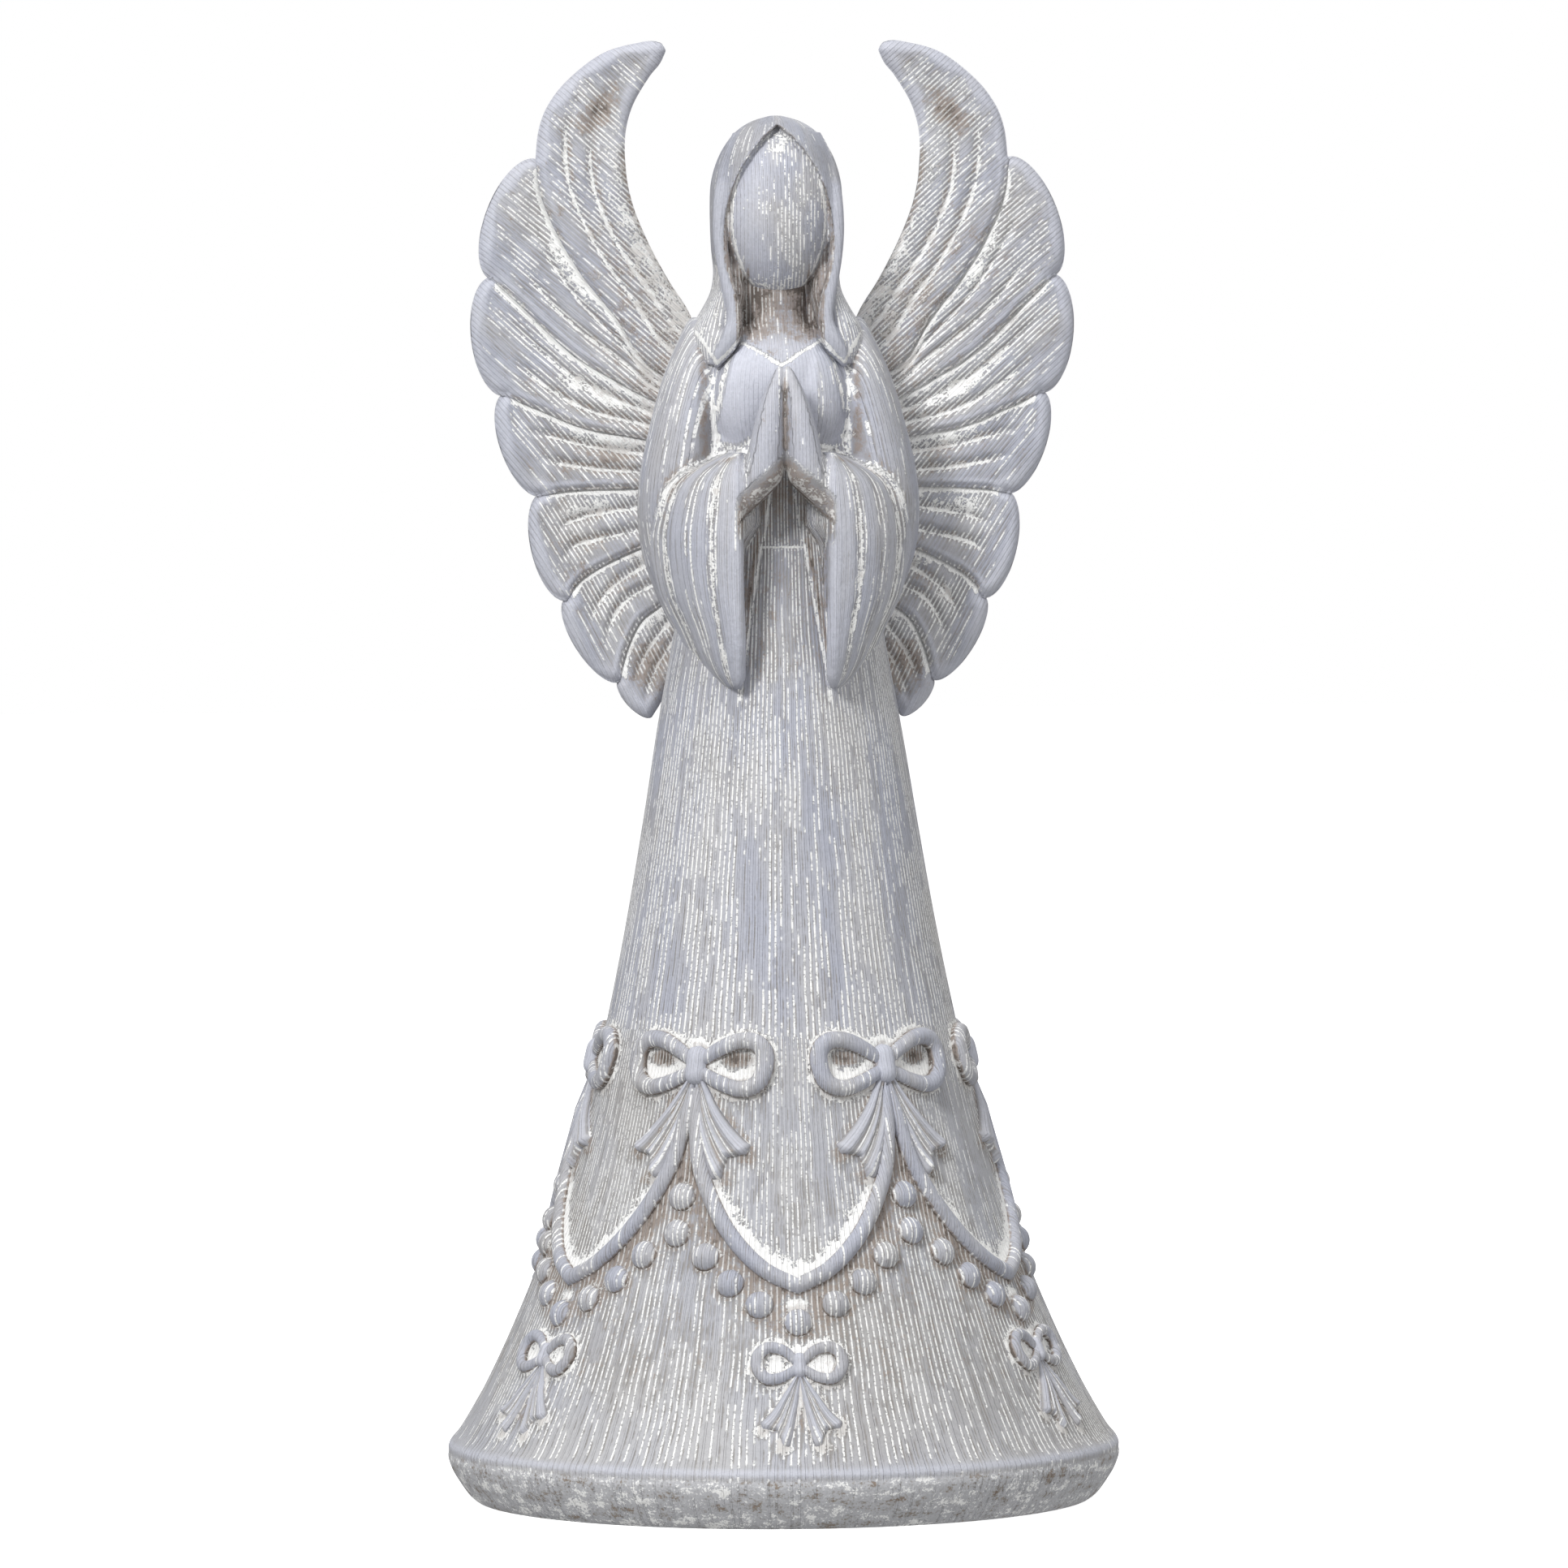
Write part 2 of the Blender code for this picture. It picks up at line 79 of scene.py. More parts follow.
# The ring of ornaments.
LOOPS, TAILS, SMALL_BOWS, SWAGS, BEADS = range(5)
REPEATS = 6
HALF_REPEAT = 180 / REPEATS
BOW_HEIGHT = 303
BOW_LOOP = (
    (3, 3), (14, 10), (27, 16), (39, 16), (46.5, 9), (47.5, -2), (44, -11.5), (34, -15.5),
    (20, -12), (3, -4),
)
BOW_OUTER_TAIL = ((3, -9), (16, -31), (29, -47), (41.5, -58.5))
BOW_INNER_TAIL = ((2, -9), (8, -36), (16, -57), (27, -75))
BOW_KNOT = (8.6, 13.2)
BOW_TUBE = 5.9
TAIL_RADIUS = 4.5
KNOT_HEIGHT = 9.6
RIBBON_FLARE = 7.5
RIBBON_HEIGHT = 6.4
RIBBON_SINK = 2.5
RIBBON_RIM = 0.76
RIBBON_PLACES = (-1.07, -1.02, -0.96, -0.88, -0.76, -0.64, -0.54, -0.42, -0.28, -0.14, 0.0)
SMALL_BOW_HEIGHT = 107
SMALL_BOW_LOOP = ((2, 2), (10, 9), (20, 11), (27, 6), (28, -2), (22, -9), (12, -8), (2, -2))
SMALL_BOW_OUTER_TAIL = ((1, -7), (9, -20), (17, -32), (26, -41))
SMALL_BOW_INNER_TAIL = ((1, -7), (4, -22), (8, -38), (13, -52))
SMALL_BOW_KNOT = (5.4, 8.2)
SMALL_BOW_TUBE = 4.1
SMALL_TAIL_RADIUS = 3
GARLAND = ((29.3, 288), (27.6, 257), (25.5, 235), (20.5, 209), (14.6, 187), (7.6, 169), (0, 158))
GARLAND_RADIUS = 5.6
PEAK_BEADS = ((0.0, 216), (0.0, 192))
SCALLOP_BEADS = ((21.8, 177), (15.3, 160), (8.4, 146), (0.0, 134.6), (-8.4, 146), (-15.3, 160), (-21.8, 177))
BEAD_RADIUS = 10.4
BEAD_FOOT = 9.5
BEAD_SINK = 2.5

# Level sections of the figure's forms: height, middle x, half width, middle y, half depth.
HOOD = (
    (946, 0, 4, -2, 6), (942, 0, 17, -2, 19), (934, 0, 28.5, -2, 30), (920, 0, 38.2, -2, 38),
    (903, 0, 43.9, -1, 43), (885, 0, 45.2, -1, 45), (858, 0, 44.6, 0, 44), (840, 0, 43, 2, 42),
    (826, 0, 45, 5, 39), (814, 0, 51, 8, 38), (802, 0, 58, 8, 40), (788, 0, 61, 8, 43),
    (770, 0, 58, 8, 42), (750, 0, 44, 8, 36),
)
HOOD_SQUARENESS = 0.8
VEIL = (
    (850, 30, 7, -8, 12), (840, 31, 9.5, -10, 17), (826, 33, 11, -12, 21), (814, 37, 13, -12, 23),
    (802, 42, 15, -12, 25), (790, 44, 14, -14, 26), (776, 44, 9, -16, 24),
)
UPPER_ARM = (
    (809, 56, 2, 8, 6), (804, 56, 6, 6, 18), (792, 56, 12, 4, 30), (776, 57, 18, 0, 39),
    (759, 59, 22, -3, 43), (731, 64, 24.5, -6, 47), (703, 68, 26.5, -8, 50), (676, 69, 27.5, -9, 51),
    (648, 67, 26.5, -6, 47), (620, 60, 24, -2, 38), (596, 53, 19, 2, 28), (580, 50, 10, 4, 16),
)
BACK = (
    (806, 0, 40, 14, 28), (790, 0, 58, 12, 40), (760, 0, 68, 8, 49), (720, 0, 72, 4, 54),
    (680, 0, 72, 2, 57), (640, 0, 70, 1, 61), (600, 0, 66, 0, 62),
)
NECK = ((850, 0, 19, -12, 16), (830, 0, 19.8, -12, 16.5), (800, 0, 21.5, -11, 19), (770, 0, 30, -12, 28))
HAND = (
    (775, 2.5, 1.2, -82, 2.5), (771, 3.5, 3.0, -83, 5), (765, 5.0, 4.9, -84, 8), (753, 7.8, 7.4, -86, 11),
    (741, 9.8, 9.3, -88, 13), (725, 12.0, 11.2, -89, 15), (708, 14.2, 13.0, -89, 16),
    (698, 16.5, 14.0, -88, 16), (689, 22.0, 12.5, -86, 14), (679, 28.5, 9.0, -84, 12),
    (670, 33.0, 5.5, -81, 9),
)
SLEEVE = (
    (716, 37, -88, 24), (711, 50, -93, 17), (702, 69, -97, 13), (692, 79, -100, 12), (676, 85, -102, 11),
    (655, 88, -103, 11), (622, 83, -101, 15), (596, 71, -98, 20), (580, 63.5, -95, 24), (571, 58, -92, 26),
    (565, 53, -90, 27), (561, 48, -88, 27), (558.5, 44.5, -86, 27), (557, 41, -84, 27),
)
SLEEVE_EDGE = 32
SLEEVE_BACK = -48
SLEEVE_GROOVES = ((0.34, 0.045, 3.2), (0.63, 0.03, 1.6), (0.86, 0.04, 2.8))
LINING = (
    (930, 0, 12, -4, 24), (918, 0, 26, -4, 30), (903, 0, 36.5, -4, 32), (885, 0, 40.5, -4, 32),
    (860, 0, 40.5, -4, 30), (848, 0, 40, -4, 24.5), (836, 0, 39, -4, 17), (822, 0, 36, -4, 13),
    (800, 0, 34, -4, 12), (780, 0, 32, -4, 12),
)
LINING_SQUARENESS = 0.6
LOCK = (
    (28, -14, 934, 2), (33.4, -20, 920, 3.2), (37.4, -25, 905, 4), (39.6, -28, 888, 4.5),
    (40.2, -30, 871, 4.7), (39.4, -31.5, 857, 4.8), (37.4, -34, 842, 4.7), (34.2, -37, 827, 4.8),
    (31.6, -40, 815, 4.9), (31.2, -42, 804, 5.6), (34.5, -43, 794, 7.0), (39, -43, 786, 6.4),
    (42.5, -43, 779, 4), (44, -42, 774, 1.5),
)
OPENING = (
    (0, 939), (11, 929), (21, 916), (29, 901), (34, 886), (36.5, 871), (37.5, 857), (36.5, 844),
    (33, 832), (29, 818), (28, 788),
)
OPENING_BACK = -6
OPENING_FRONT = -70
FACE_MIDDLE = (0, -14, 876)
FACE_REACH = (36, 36, 54)
FACE_OUTLINE = 31.8
FOREHEAD_MIDDLE = (0, -6, 896)
FOREHEAD_REACH = (24, 33, 44)
CHEST_MIDDLE = (0, -12, 764)
CHEST_REACH = (47, 47, 43)
RIBS_MIDDLE = (0, -8, 750)
RIBS_REACH = (66, 46, 58)
BREAST_MIDDLE = (22, -37, 752)
BREAST_REACH = (23.5, 21, 36)
NECK_EDGE = ((0, 775.0), (6, 778.8), (13, 783.4), (20, 787.6), (26.5, 791))
BUST_EDGE = ((32.5, 787), (37, 776), (41, 759), (43.7, 746), (46, 733), (42, 722), (30, 719.5), (20, 725))
MANTLE_LINES = (((58.5, 801), (51, 790), (43.5, 777)), ((43.5, 777), (35, 785), (27, 794)))
SLEEVE_TOP = ((33, 716), (50, 713), (68, 703), (79, 690), (84, 675), (85, 655))
HEAD_VOXEL = 1.25
FIGURE_VOXEL = 1.85

# The wing: the lines between its feathers, from the root out, as x and height.
FEATHER_LINES = (
    ((50, 792), (59.8, 813.7), (71.2, 831.5), (81.2, 849.3), (89.8, 867), (96.8, 885), (101, 902.7),
     (102.6, 920.5)),
    ((50, 760), (85.6, 776), (107.9, 809), (130, 837), (146.8, 865), (158.5, 893), (162, 917)),
    ((48, 738), (85.6, 753.7), (107.9, 766), (141, 787), (174.6, 820), (193, 837)),
    ((46, 715), (88.4, 725.8), (130, 734), (163.5, 748), (184.6, 757)),
    ((46, 693), (91, 692.5), (141, 691.4), (160, 688)),
    ((46, 668), (91, 652.4), (119, 639.6), (135.7, 628.5), (143.5, 616)),
    ((50, 635), (80, 611.8), (94, 600.7), (103.5, 581), (108, 560)),
    ((60, 590), (72, 560), (80, 545), (86, 535)),
)
FEATHER_BULGES = (20, 19, 16, 16, 13, 7)
HORN_INNER = ((102.6, 920.5), (101.5, 938.3), (96.2, 956), (85.4, 974), (77.6, 983.5), (72.3, 994))
HORN_OUTER = ((162, 917), (159.6, 938.3), (152.7, 956), (138, 974), (113.2, 991.7), (80, 1000))
WING_MIDDLE = 24
WING_SWEEP = 0.12
FEATHER_FRONT = 8.5
FEATHER_BACK = 7
FEATHER_RIM = 7.5
FEATHER_OVERLAP = 1.03
FEATHER_ROWS = 56
FEATHER_ENDS = 20
FEATHER_COLUMNS = 45
HORN_ROWS = 88
HORN_TAPER = (0.97, 0.87, 0.66, 0.12)
HORN_PATCH = (120, 950)
LOW_PATCH = (84, 572)
COMB_ANGLES = (42, 40, 42, 50, 58, 62, 64)
# How white the worn patch in the middle of each feather is.
FLUSH_WHITES = (0.15, 0.70, 0.72, 0.62, 0.62, 0.50, 0.40)

# Finish colours, linear.
GREY_BLUE = (0.440, 0.455, 0.525)
SMOOTH_BLUE = (0.600, 0.615, 0.690)
GREY_PALE = (0.490, 0.490, 0.515)
GREY_PLAIN = (0.490, 0.485, 0.478)
GREY_FOOT = (0.535, 0.538, 0.560)
GREY_WARM = (0.380, 0.365, 0.350)
WASH_WHITE = (0.970, 0.970, 0.955)
# the brown and the dark paint staining and also painted shade
BROWN_STAIN_AND_SHADE = (0.300, 0.238, 0.195)
DARK_STAIN_AND_SHADE = (0.085, 0.068, 0.056)
STAIN_TAUPE = (0.250, 0.232, 0.215)

# Comb lines: their pitch in metres, how much closer they run in places, and their reach round each form.
COMB_PITCH = 0.00235
LOW_COMB = 1.60
WING_COMB = 1.32
FIGURE_COMB = 1.15
PLAIN_COMB = 1.3
FIGURE_COMB_REACH = 80
SLEEVE_COMB_REACH = 56
DRESS_COMB = 105
BEAD_COMB = 200
ORNAMENT_COMB = 190
RIBBON_COMB = 11 * ORNAMENT_COMB / 130
# Marks a point of the figure that has no comb lines.
BLANK = -0.5

# Studio light: its lamps by name, place, size and power.
LIGHTS = (
    ("key", (-1.6, -2.5, 2.3), 0.8, 76),
    ("fill", (2.2, -2.3, 1.0), 1.8, 12),
    ("top", (-0.2, -0.9, 3.1), 1.2, 24),
    ("back", (0.9, 2.7, 2.0), 1.6, 26),
)
LIGHT_AIM = (0, 0, 0.3)
WORLD_LIGHT = 0.44
FLOOR_GLOW = 0.80
FLOOR_REACH = 12

# The photograph's view.
CAMERA_AZIMUTH = -3.3
CAMERA_LEVEL = 0.73
CAMERA_DISTANCE = 6.8
CAMERA_AIM = 0.489
CAMERA_LENS = 228
CAMERA_SENSOR = 36
CAMERA_ROLL = -0.36
CAMERA_SHIFT = 0.0029


def smooth(points, count):
    """Evenly spread samples of a Catmull-Rom curve through points, as an array."""
    points = np.asarray(points, float)
    ends = np.vstack([2 * points[0] - points[1], points, 2 * points[-1] - points[-2]])
    along = np.linspace(0, len(points) - 1, count)
    k = np.minimum(along.astype(int), len(points) - 2)
    t = (along - k)[:, None]
    a, b, c, d = ends[k], ends[k + 1], ends[k + 2], ends[k + 3]
    return 0.5 * (2 * b + (c - a) * t + (2 * a - 5 * b + 4 * c - d) * t**2 + (3 * b - a - 3 * c + d) * t**3)


def dense(points, times=3):
    """The same polyline with more points along it."""
    at = np.arange(len(points))
    fine = np.linspace(0, len(points) - 1, times * (len(points) - 1) + 1)
    return np.stack([np.interp(fine, at, points[:, k]) for k in range(2)], -1)


def ramp(value, low, high):
    """Smooth step from 0 at low to 1 at high; it falls where high is the smaller."""
    share = np.clip((value - low) / (high - low), 0, 1)
    return share * share * (3 - 2 * share)


def band(value, start, full, fading, end):
    """1 between full and fading, with a smooth step up from start and down to end."""
    return ramp(value, start, full) * ramp(value, end, fading)


def bell(distance, width):
    return np.exp(-((distance / width) ** 2))


def most(*values):
    """The greatest of some arrays and numbers, point by point."""
    greatest = values[0]
    for value in values[1:]:
        greatest = np.maximum(greatest, value)
    return greatest


def unit(vectors):
    return vectors / np.linalg.norm(vectors, axis=-1)[..., None]


def nearest(points, samples, chunk=4000):
    """Distance from each point to the nearest sample."""
    out = np.empty(len(points))
    for i in range(0, len(points), chunk):
        gap = points[i:i + chunk, None, :] - samples[None]
        out[i:i + chunk] = np.sqrt((gap**2).sum(-1)).min(1)
    return out


OUTLINE = smooth(BASE_OUTLINE + DRESS_OUTLINE, 120)


def radius_at(height):
    return np.interp(height, OUTLINE[:, 0], OUTLINE[:, 1])


def slope_at(height):
    return (radius_at(height - 2) - radius_at(height + 2)) / 4


def dress_normal(angle, height):
    slope = slope_at(height)
    length = np.sqrt(1 + slope**2)
    return np.stack([np.sin(angle) / length, -np.cos(angle) / length, slope / length], -1)


def on_dress(angle, height, lift=0.0):
    """Points on the dress, lifted off it: the angle in radians is 0 at the front and grows to +X."""
    slope = slope_at(height)
    length = np.sqrt(1 + slope**2)
    radius = radius_at(height) + lift / length
    return np.stack([radius * np.sin(angle), -radius * np.cos(angle), height + lift * slope / length], -1)


def link_object(name, data):
    made = bpy.data.objects.new(name, data)
    bpy.context.scene.collection.objects.link(made)
    return made


def turn_faces_out(data):
    mesh = bmesh.new()
    mesh.from_mesh(data)
    bmesh.ops.recalc_face_normals(mesh, faces=mesh.faces)
    mesh.to_mesh(data)
    mesh.free()


def make_piece(name, points, faces, values, comb, material):
    """A mesh piece with its paint values by point and its comb direction as a UV map."""
    data = bpy.data.meshes.new(name)
    data.from_pydata((np.asarray(points) * TH).tolist(), [], faces)
    for key, value in values.items():
        layer = data.attributes.new(key, "FLOAT", "POINT")
        layer.data.foreach_set("value", np.ascontiguousarray(np.clip(value, 0, 1), np.float32))
    corner = np.empty(len(data.loops), np.int32)
    data.loops.foreach_get("vertex_index", corner)
    uv = data.uv_layers.new(name="comb")
    uv.data.foreach_set("uv", np.ascontiguousarray((comb * TH)[corner], np.float32).ravel())
    data.polygons.foreach_set("use_smooth", np.ones(len(data.polygons), bool))
    data.materials.append(material)
    data.update()
    piece = link_object(name, data)
    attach(piece, "root")
    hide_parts(NODE)
    return piece


def grid_faces(rows, columns, closed=True):
    """Quads over rows of points; closed joins the last column to the first."""
    row = np.arange(rows - 1)[:, None] * columns
    column = np.arange(columns if closed else columns - 1)[None]
    following = (column + 1) % columns
    quads = np.stack([row + column, row + following, row + columns + following, row + columns + column], -1)
    return quads.reshape(-1, 4)


def end_caps(rows, columns):
    """The two faces that close a tube of points at its first and last rows."""
    return [list(range(columns))[::-1], list(range((rows - 1) * columns, rows * columns))]


class Batch:
    """Gathers parts of one piece: points, quads, caps, values and comb directions."""

    def __init__(self):
        self.points, self.faces, self.comb = [], [], []
        self.values = {"wash": [], "stain": [], "bare": []}
        self.count = 0

    def add(self, points, quads, caps, wash, stain, bare, comb):
        self.points.append(points)
        self.faces += (quads + self.count).tolist()
        self.faces += [[i + self.count for i in cap] for cap in caps]
        for parts, value in zip(self.values.values(), (wash, stain, bare)):
            parts.append(np.broadcast_to(value, (len(points),)))
        self.comb.append(comb)
        self.count += len(points)

    def build(self, name, material):
        values = {key: np.concatenate(parts) for key, parts in self.values.items()}
        piece = make_piece(name, np.vstack(self.points), self.faces, values, np.vstack(self.comb), material)
        turn_faces_out(piece.data)


def round_comb(points, reach):
    """Comb lines that run upright all round the statue's axis."""
    return np.stack([np.arctan2(points[:, 0], -points[:, 1]) * reach, points[:, 2]], -1)


# Ornaments

def fold(angle):
    """An angle in degrees brought into one half repeat, from a valley at 0 to a bow at its end."""
    inside = np.mod(angle, 2 * HALF_REPEAT)
    return np.where(inside > HALF_REPEAT, 2 * HALF_REPEAT - inside, inside)


def ornament_samples():
    """The ornaments inside a half repeat, as angle, height, radius and kind."""
    rows = []
    for start, middle, radius, kind, path in (
        (HALF_REPEAT, BOW_HEIGHT, BOW_TUBE, LOOPS, smooth(BOW_LOOP, 44)),
        (HALF_REPEAT, BOW_HEIGHT, TAIL_RADIUS, TAILS, smooth(BOW_OUTER_TAIL, 24)[2:]),
        (HALF_REPEAT, BOW_HEIGHT, TAIL_RADIUS, TAILS, smooth(BOW_INNER_TAIL, 24)[2:]),
        (HALF_REPEAT, BOW_HEIGHT, 7, LOOPS, [(0, up) for up in range(-9, 10, 3)]),
        (0, SMALL_BOW_HEIGHT, SMALL_BOW_TUBE, SMALL_BOWS, smooth(SMALL_BOW_LOOP, 30)),
        (0, SMALL_BOW_HEIGHT, SMALL_TAIL_RADIUS, SMALL_BOWS, smooth(SMALL_BOW_OUTER_TAIL, 14)[1:]),
        (0, SMALL_BOW_HEIGHT, SMALL_TAIL_RADIUS, SMALL_BOWS, smooth(SMALL_BOW_INNER_TAIL, 14)[1:]),
        (0, SMALL_BOW_HEIGHT, 4.5, SMALL_BOWS, [(0, up) for up in range(-6, 7, 2)]),
    ):
        for right, up in path:
            turn = math.degrees(right / radius_at(middle + up))
            rows.append((abs(start - turn), middle + up, radius, kind))
    rows += [(turn, height, GARLAND_RADIUS, SWAGS) for turn, height in smooth(GARLAND, 60)]
    rows += [(HALF_REPEAT + turn, height, BEAD_FOOT, BEADS) for turn, height in PEAK_BEADS]
    rows += [(turn, height, BEAD_FOOT, BEADS) for turn, height in SCALLOP_BEADS]
    return rows


def ring_section(count):
    turn = 2 * np.pi * np.arange(count) / count
    return np.stack([np.cos(turn), np.sin(turn)], -1)


def sweep(batch, path, normals, widths, heights, sides, bare=0.30):
    """A round strip along a path on the dress, washed and stained where it meets the dress; the brown there
    is partly painted contact shade.
    """
    across = unit(np.cross(unit(np.gradient(path, axis=0)), normals))
    section = ring_section(sides)
    points = (
        path[:, None, :]
        + across[:, None, :] * (widths[:, None] * section[None, :, 0])[..., None]
        + normals[:, None, :] * (heights[:, None] * section[None, :, 1])[..., None]
    ).reshape(-1, 3)
    rows = len(path)
    up = np.tile(section[:, 1], rows)
    batch.add(
        points, grid_faces(rows, sides), end_caps(rows, sides), 0.38 * ramp(up, 0.30, -0.1),
        0.85 * ramp(up, 0.50, 0.0), bare, round_comb(points, ORNAMENT_COMB),
    )


def ribbon(batch, trail, outer, inner, side, scale):
    """A wide flat ribbon tail with raised rims, a combed hollow and a forked end."""
    across = np.array(RIBBON_PLACES)
    across = np.concatenate([across, -across[-2::-1]])
    aside = np.abs(across)
    edge = np.clip((aside - RIBBON_RIM) / 0.26, 0, 1)
    reach = 1 - 0.14 * np.clip(1 - aside / RIBBON_RIM, 0, 1) ** 0.8 - 0.055 * edge**2
    along = np.linspace(0, 1, 30)[:, None] * reach[None]
    share = np.linspace(0, 1, 60)
    flat = np.empty((*along.shape, 2))
    for k in range(2):
        a = np.interp(along, share, smooth(outer, 60)[:, k])
        b = np.interp(along, share, smooth(inner, 60)[:, k])
        flat[..., k] = (a + b) / 2 + (b - a) / 2 * across
    spread = np.sign(across) * aside**3 * RIBBON_FLARE * scale * (0.5 + 0.5 * along)
    flat -= spread[..., None] * np.array([0.62, 0.5])
    rims = np.cos(np.pi * across / RIBBON_RIM) ** 2
    crown = np.sqrt(np.clip(1 - (aside / 1.03) ** 8, 0, 1))
    height = RIBBON_HEIGHT * scale
    lift = height * crown * (0.62 + 0.38 * rims) * (0.55 + 0.45 * ramp(along, 0, 0.5))
    lift += 0.25 * height * ramp(along, 0.75, 1.0) * crown
    lift[:, [0, -1]] = -RIBBON_SINK
    lift[-1] = -RIBBON_SINK
    lift[-2] = np.minimum(lift[-2], 0.55 * height)
    flat[..., 0] *= side
    points = trail(flat.reshape(-1, 2), lift.reshape(-1))[0]
    crease = bell(aside - 0.38, 0.15) * ramp(along, 1.02, 0.85)
    # where the ribbon meets the dress: white, and brown that is partly staining and partly painted contact
    # shade
    foot = ramp(lift, 1.6, -1.0)
    wash = most(0.42 * crease, 0.40 * foot)
    stain = most(0.5 * ramp(along, 0.3, 0.0) * bell(across, 0.6), 0.50 * crease, 0.85 * foot)
    bare = np.tile(0.1 + 0.6 * rims, len(lift))
    comb = np.stack([np.broadcast_to(across * RIBBON_COMB, lift.shape), flat[..., 1]], -1).reshape(-1, 2)
    quads = grid_faces(*lift.shape, closed=False)
    batch.add(points, quads, [], wash.reshape(-1), stain.reshape(-1), bare, comb)


def bow(batch, middle, knot_height, loop, tails, knot, tube):
    """A ribbon bow: two loops, a knot and two forked tails."""
    def trail(path, lift):
        height = knot_height + path[:, 1]
        angle = middle + path[:, 0] / radius_at(height)
        return on_dress(angle, height, lift), dress_normal(angle, height)

    scale = tube / BOW_TUBE
    for side in (-1, 1):
        path = smooth(loop, 56) * np.array([side, 1])
        swell = np.sin(np.pi * np.linspace(0, 1, len(path)))
        girth = tube * (0.72 + 0.34 * swell**0.7)
        spots, normals = trail(path, 1.2 + 2.2 * scale * swell)
        sweep(batch, spots, normals, girth, girth * 1.02, 16)
        ribbon(batch, trail, *tails, side, scale)
    rows = np.linspace(-1, 1, 19)
    spots, normals = trail(np.stack([0 * rows, rows * knot[1]], -1), 0 * rows)
    swell = np.sqrt(np.clip(1 - rows**4, 0.02, 1))
    girth = knot[0] * swell * (0.86 + 0.14 * np.abs(rows))
    sweep(batch, spots, normals, girth, KNOT_HEIGHT * scale * swell, 20, bare=0.7)


def garland_swag(batch, valley):
    """One hanging rope, thin at both ends."""
    half = smooth(GARLAND, 46)
    turn = np.concatenate([-half[:, 0], half[::-1, 0][1:]])
    height = np.concatenate([half[:, 1], half[::-1, 1][1:]])
    angle = valley + np.radians(turn)
    girth = np.full(len(turn), GARLAND_RADIUS)
    girth[:6] *= np.linspace(0.5, 1, 6)
    girth[-6:] *= np.linspace(1, 0.5, 6)
    sweep(batch, on_dress(angle, height, 1.0), dress_normal(angle, height), girth, girth * 1.12, 16)


def bead(batch, angle, height):
    tilt, around = np.meshgrid(
        np.linspace(0.02, np.pi - 0.02, 20), np.linspace(0, 2 * np.pi, 28, endpoint=False), indexing="ij",
    )
    normal = dress_normal(angle, height)
    side = np.array([math.cos(angle), math.sin(angle), 0])
    rise = np.cross(normal, side)
    ball = (
        np.cos(tilt)[..., None] * normal
        + (np.sin(tilt) * np.cos(around))[..., None] * side
        + (np.sin(tilt) * np.sin(around))[..., None] * rise
    ).reshape(-1, 3)
    points = on_dress(angle, height, -BEAD_SINK) + BEAD_RADIUS * ball
    out = ball @ normal
    above = ramp(ball @ rise * np.sign(rise[2]), -0.3, 0.5)
    # white on the upper side of the foot; brown round the foot, partly staining and partly painted shade,
    # stronger on the lower side
    batch.add(
        points, grid_faces(*tilt.shape), end_caps(*tilt.shape), 0.04 + 0.38 * above * ramp(out, 0.40, 0.2),
        (1.0 - 0.35 * above) * ramp(out, 0.60, 0.30), 0.12, round_comb(points, BEAD_COMB),
    )


def add_ornaments(material):
    bows, garlands, beads = Batch(), Batch(), Batch()
    for k in range(REPEATS):
        valley = math.radians(2 * HALF_REPEAT * k)
        peak = valley + math.radians(HALF_REPEAT)
        bow(bows, peak, BOW_HEIGHT, BOW_LOOP, (BOW_OUTER_TAIL, BOW_INNER_TAIL), BOW_KNOT, BOW_TUBE)
        small_tails = (SMALL_BOW_OUTER_TAIL, SMALL_BOW_INNER_TAIL)
        bow(bows, valley, SMALL_BOW_HEIGHT, SMALL_BOW_LOOP, small_tails, SMALL_BOW_KNOT, SMALL_BOW_TUBE)
        garland_swag(garlands, valley)
        for start, row in ((peak, PEAK_BEADS), (valley, SCALLOP_BEADS)):
            for turn, height in row:
                bead(beads, start + math.radians(turn), height)
    for name, batch in (("bows", bows), ("garlands", garlands), ("beads", beads)):
        batch.build(name, material)


# Dress

def ornament_gaps(height, folded):
    """Distance from each point of the dress to each kind of ornament."""
    gaps = np.full((5, len(height)), 99.0)
    stretch = np.sqrt(1 + slope_at(height) ** 2)
    for turn, level, radius, kind in ornament_samples():
        across = np.radians(folded - turn) * radius_at(height)
        gap = np.hypot(across, (height - level) * stretch) - radius
        gaps[kind] = np.minimum(gaps[kind], gap)
    return gaps


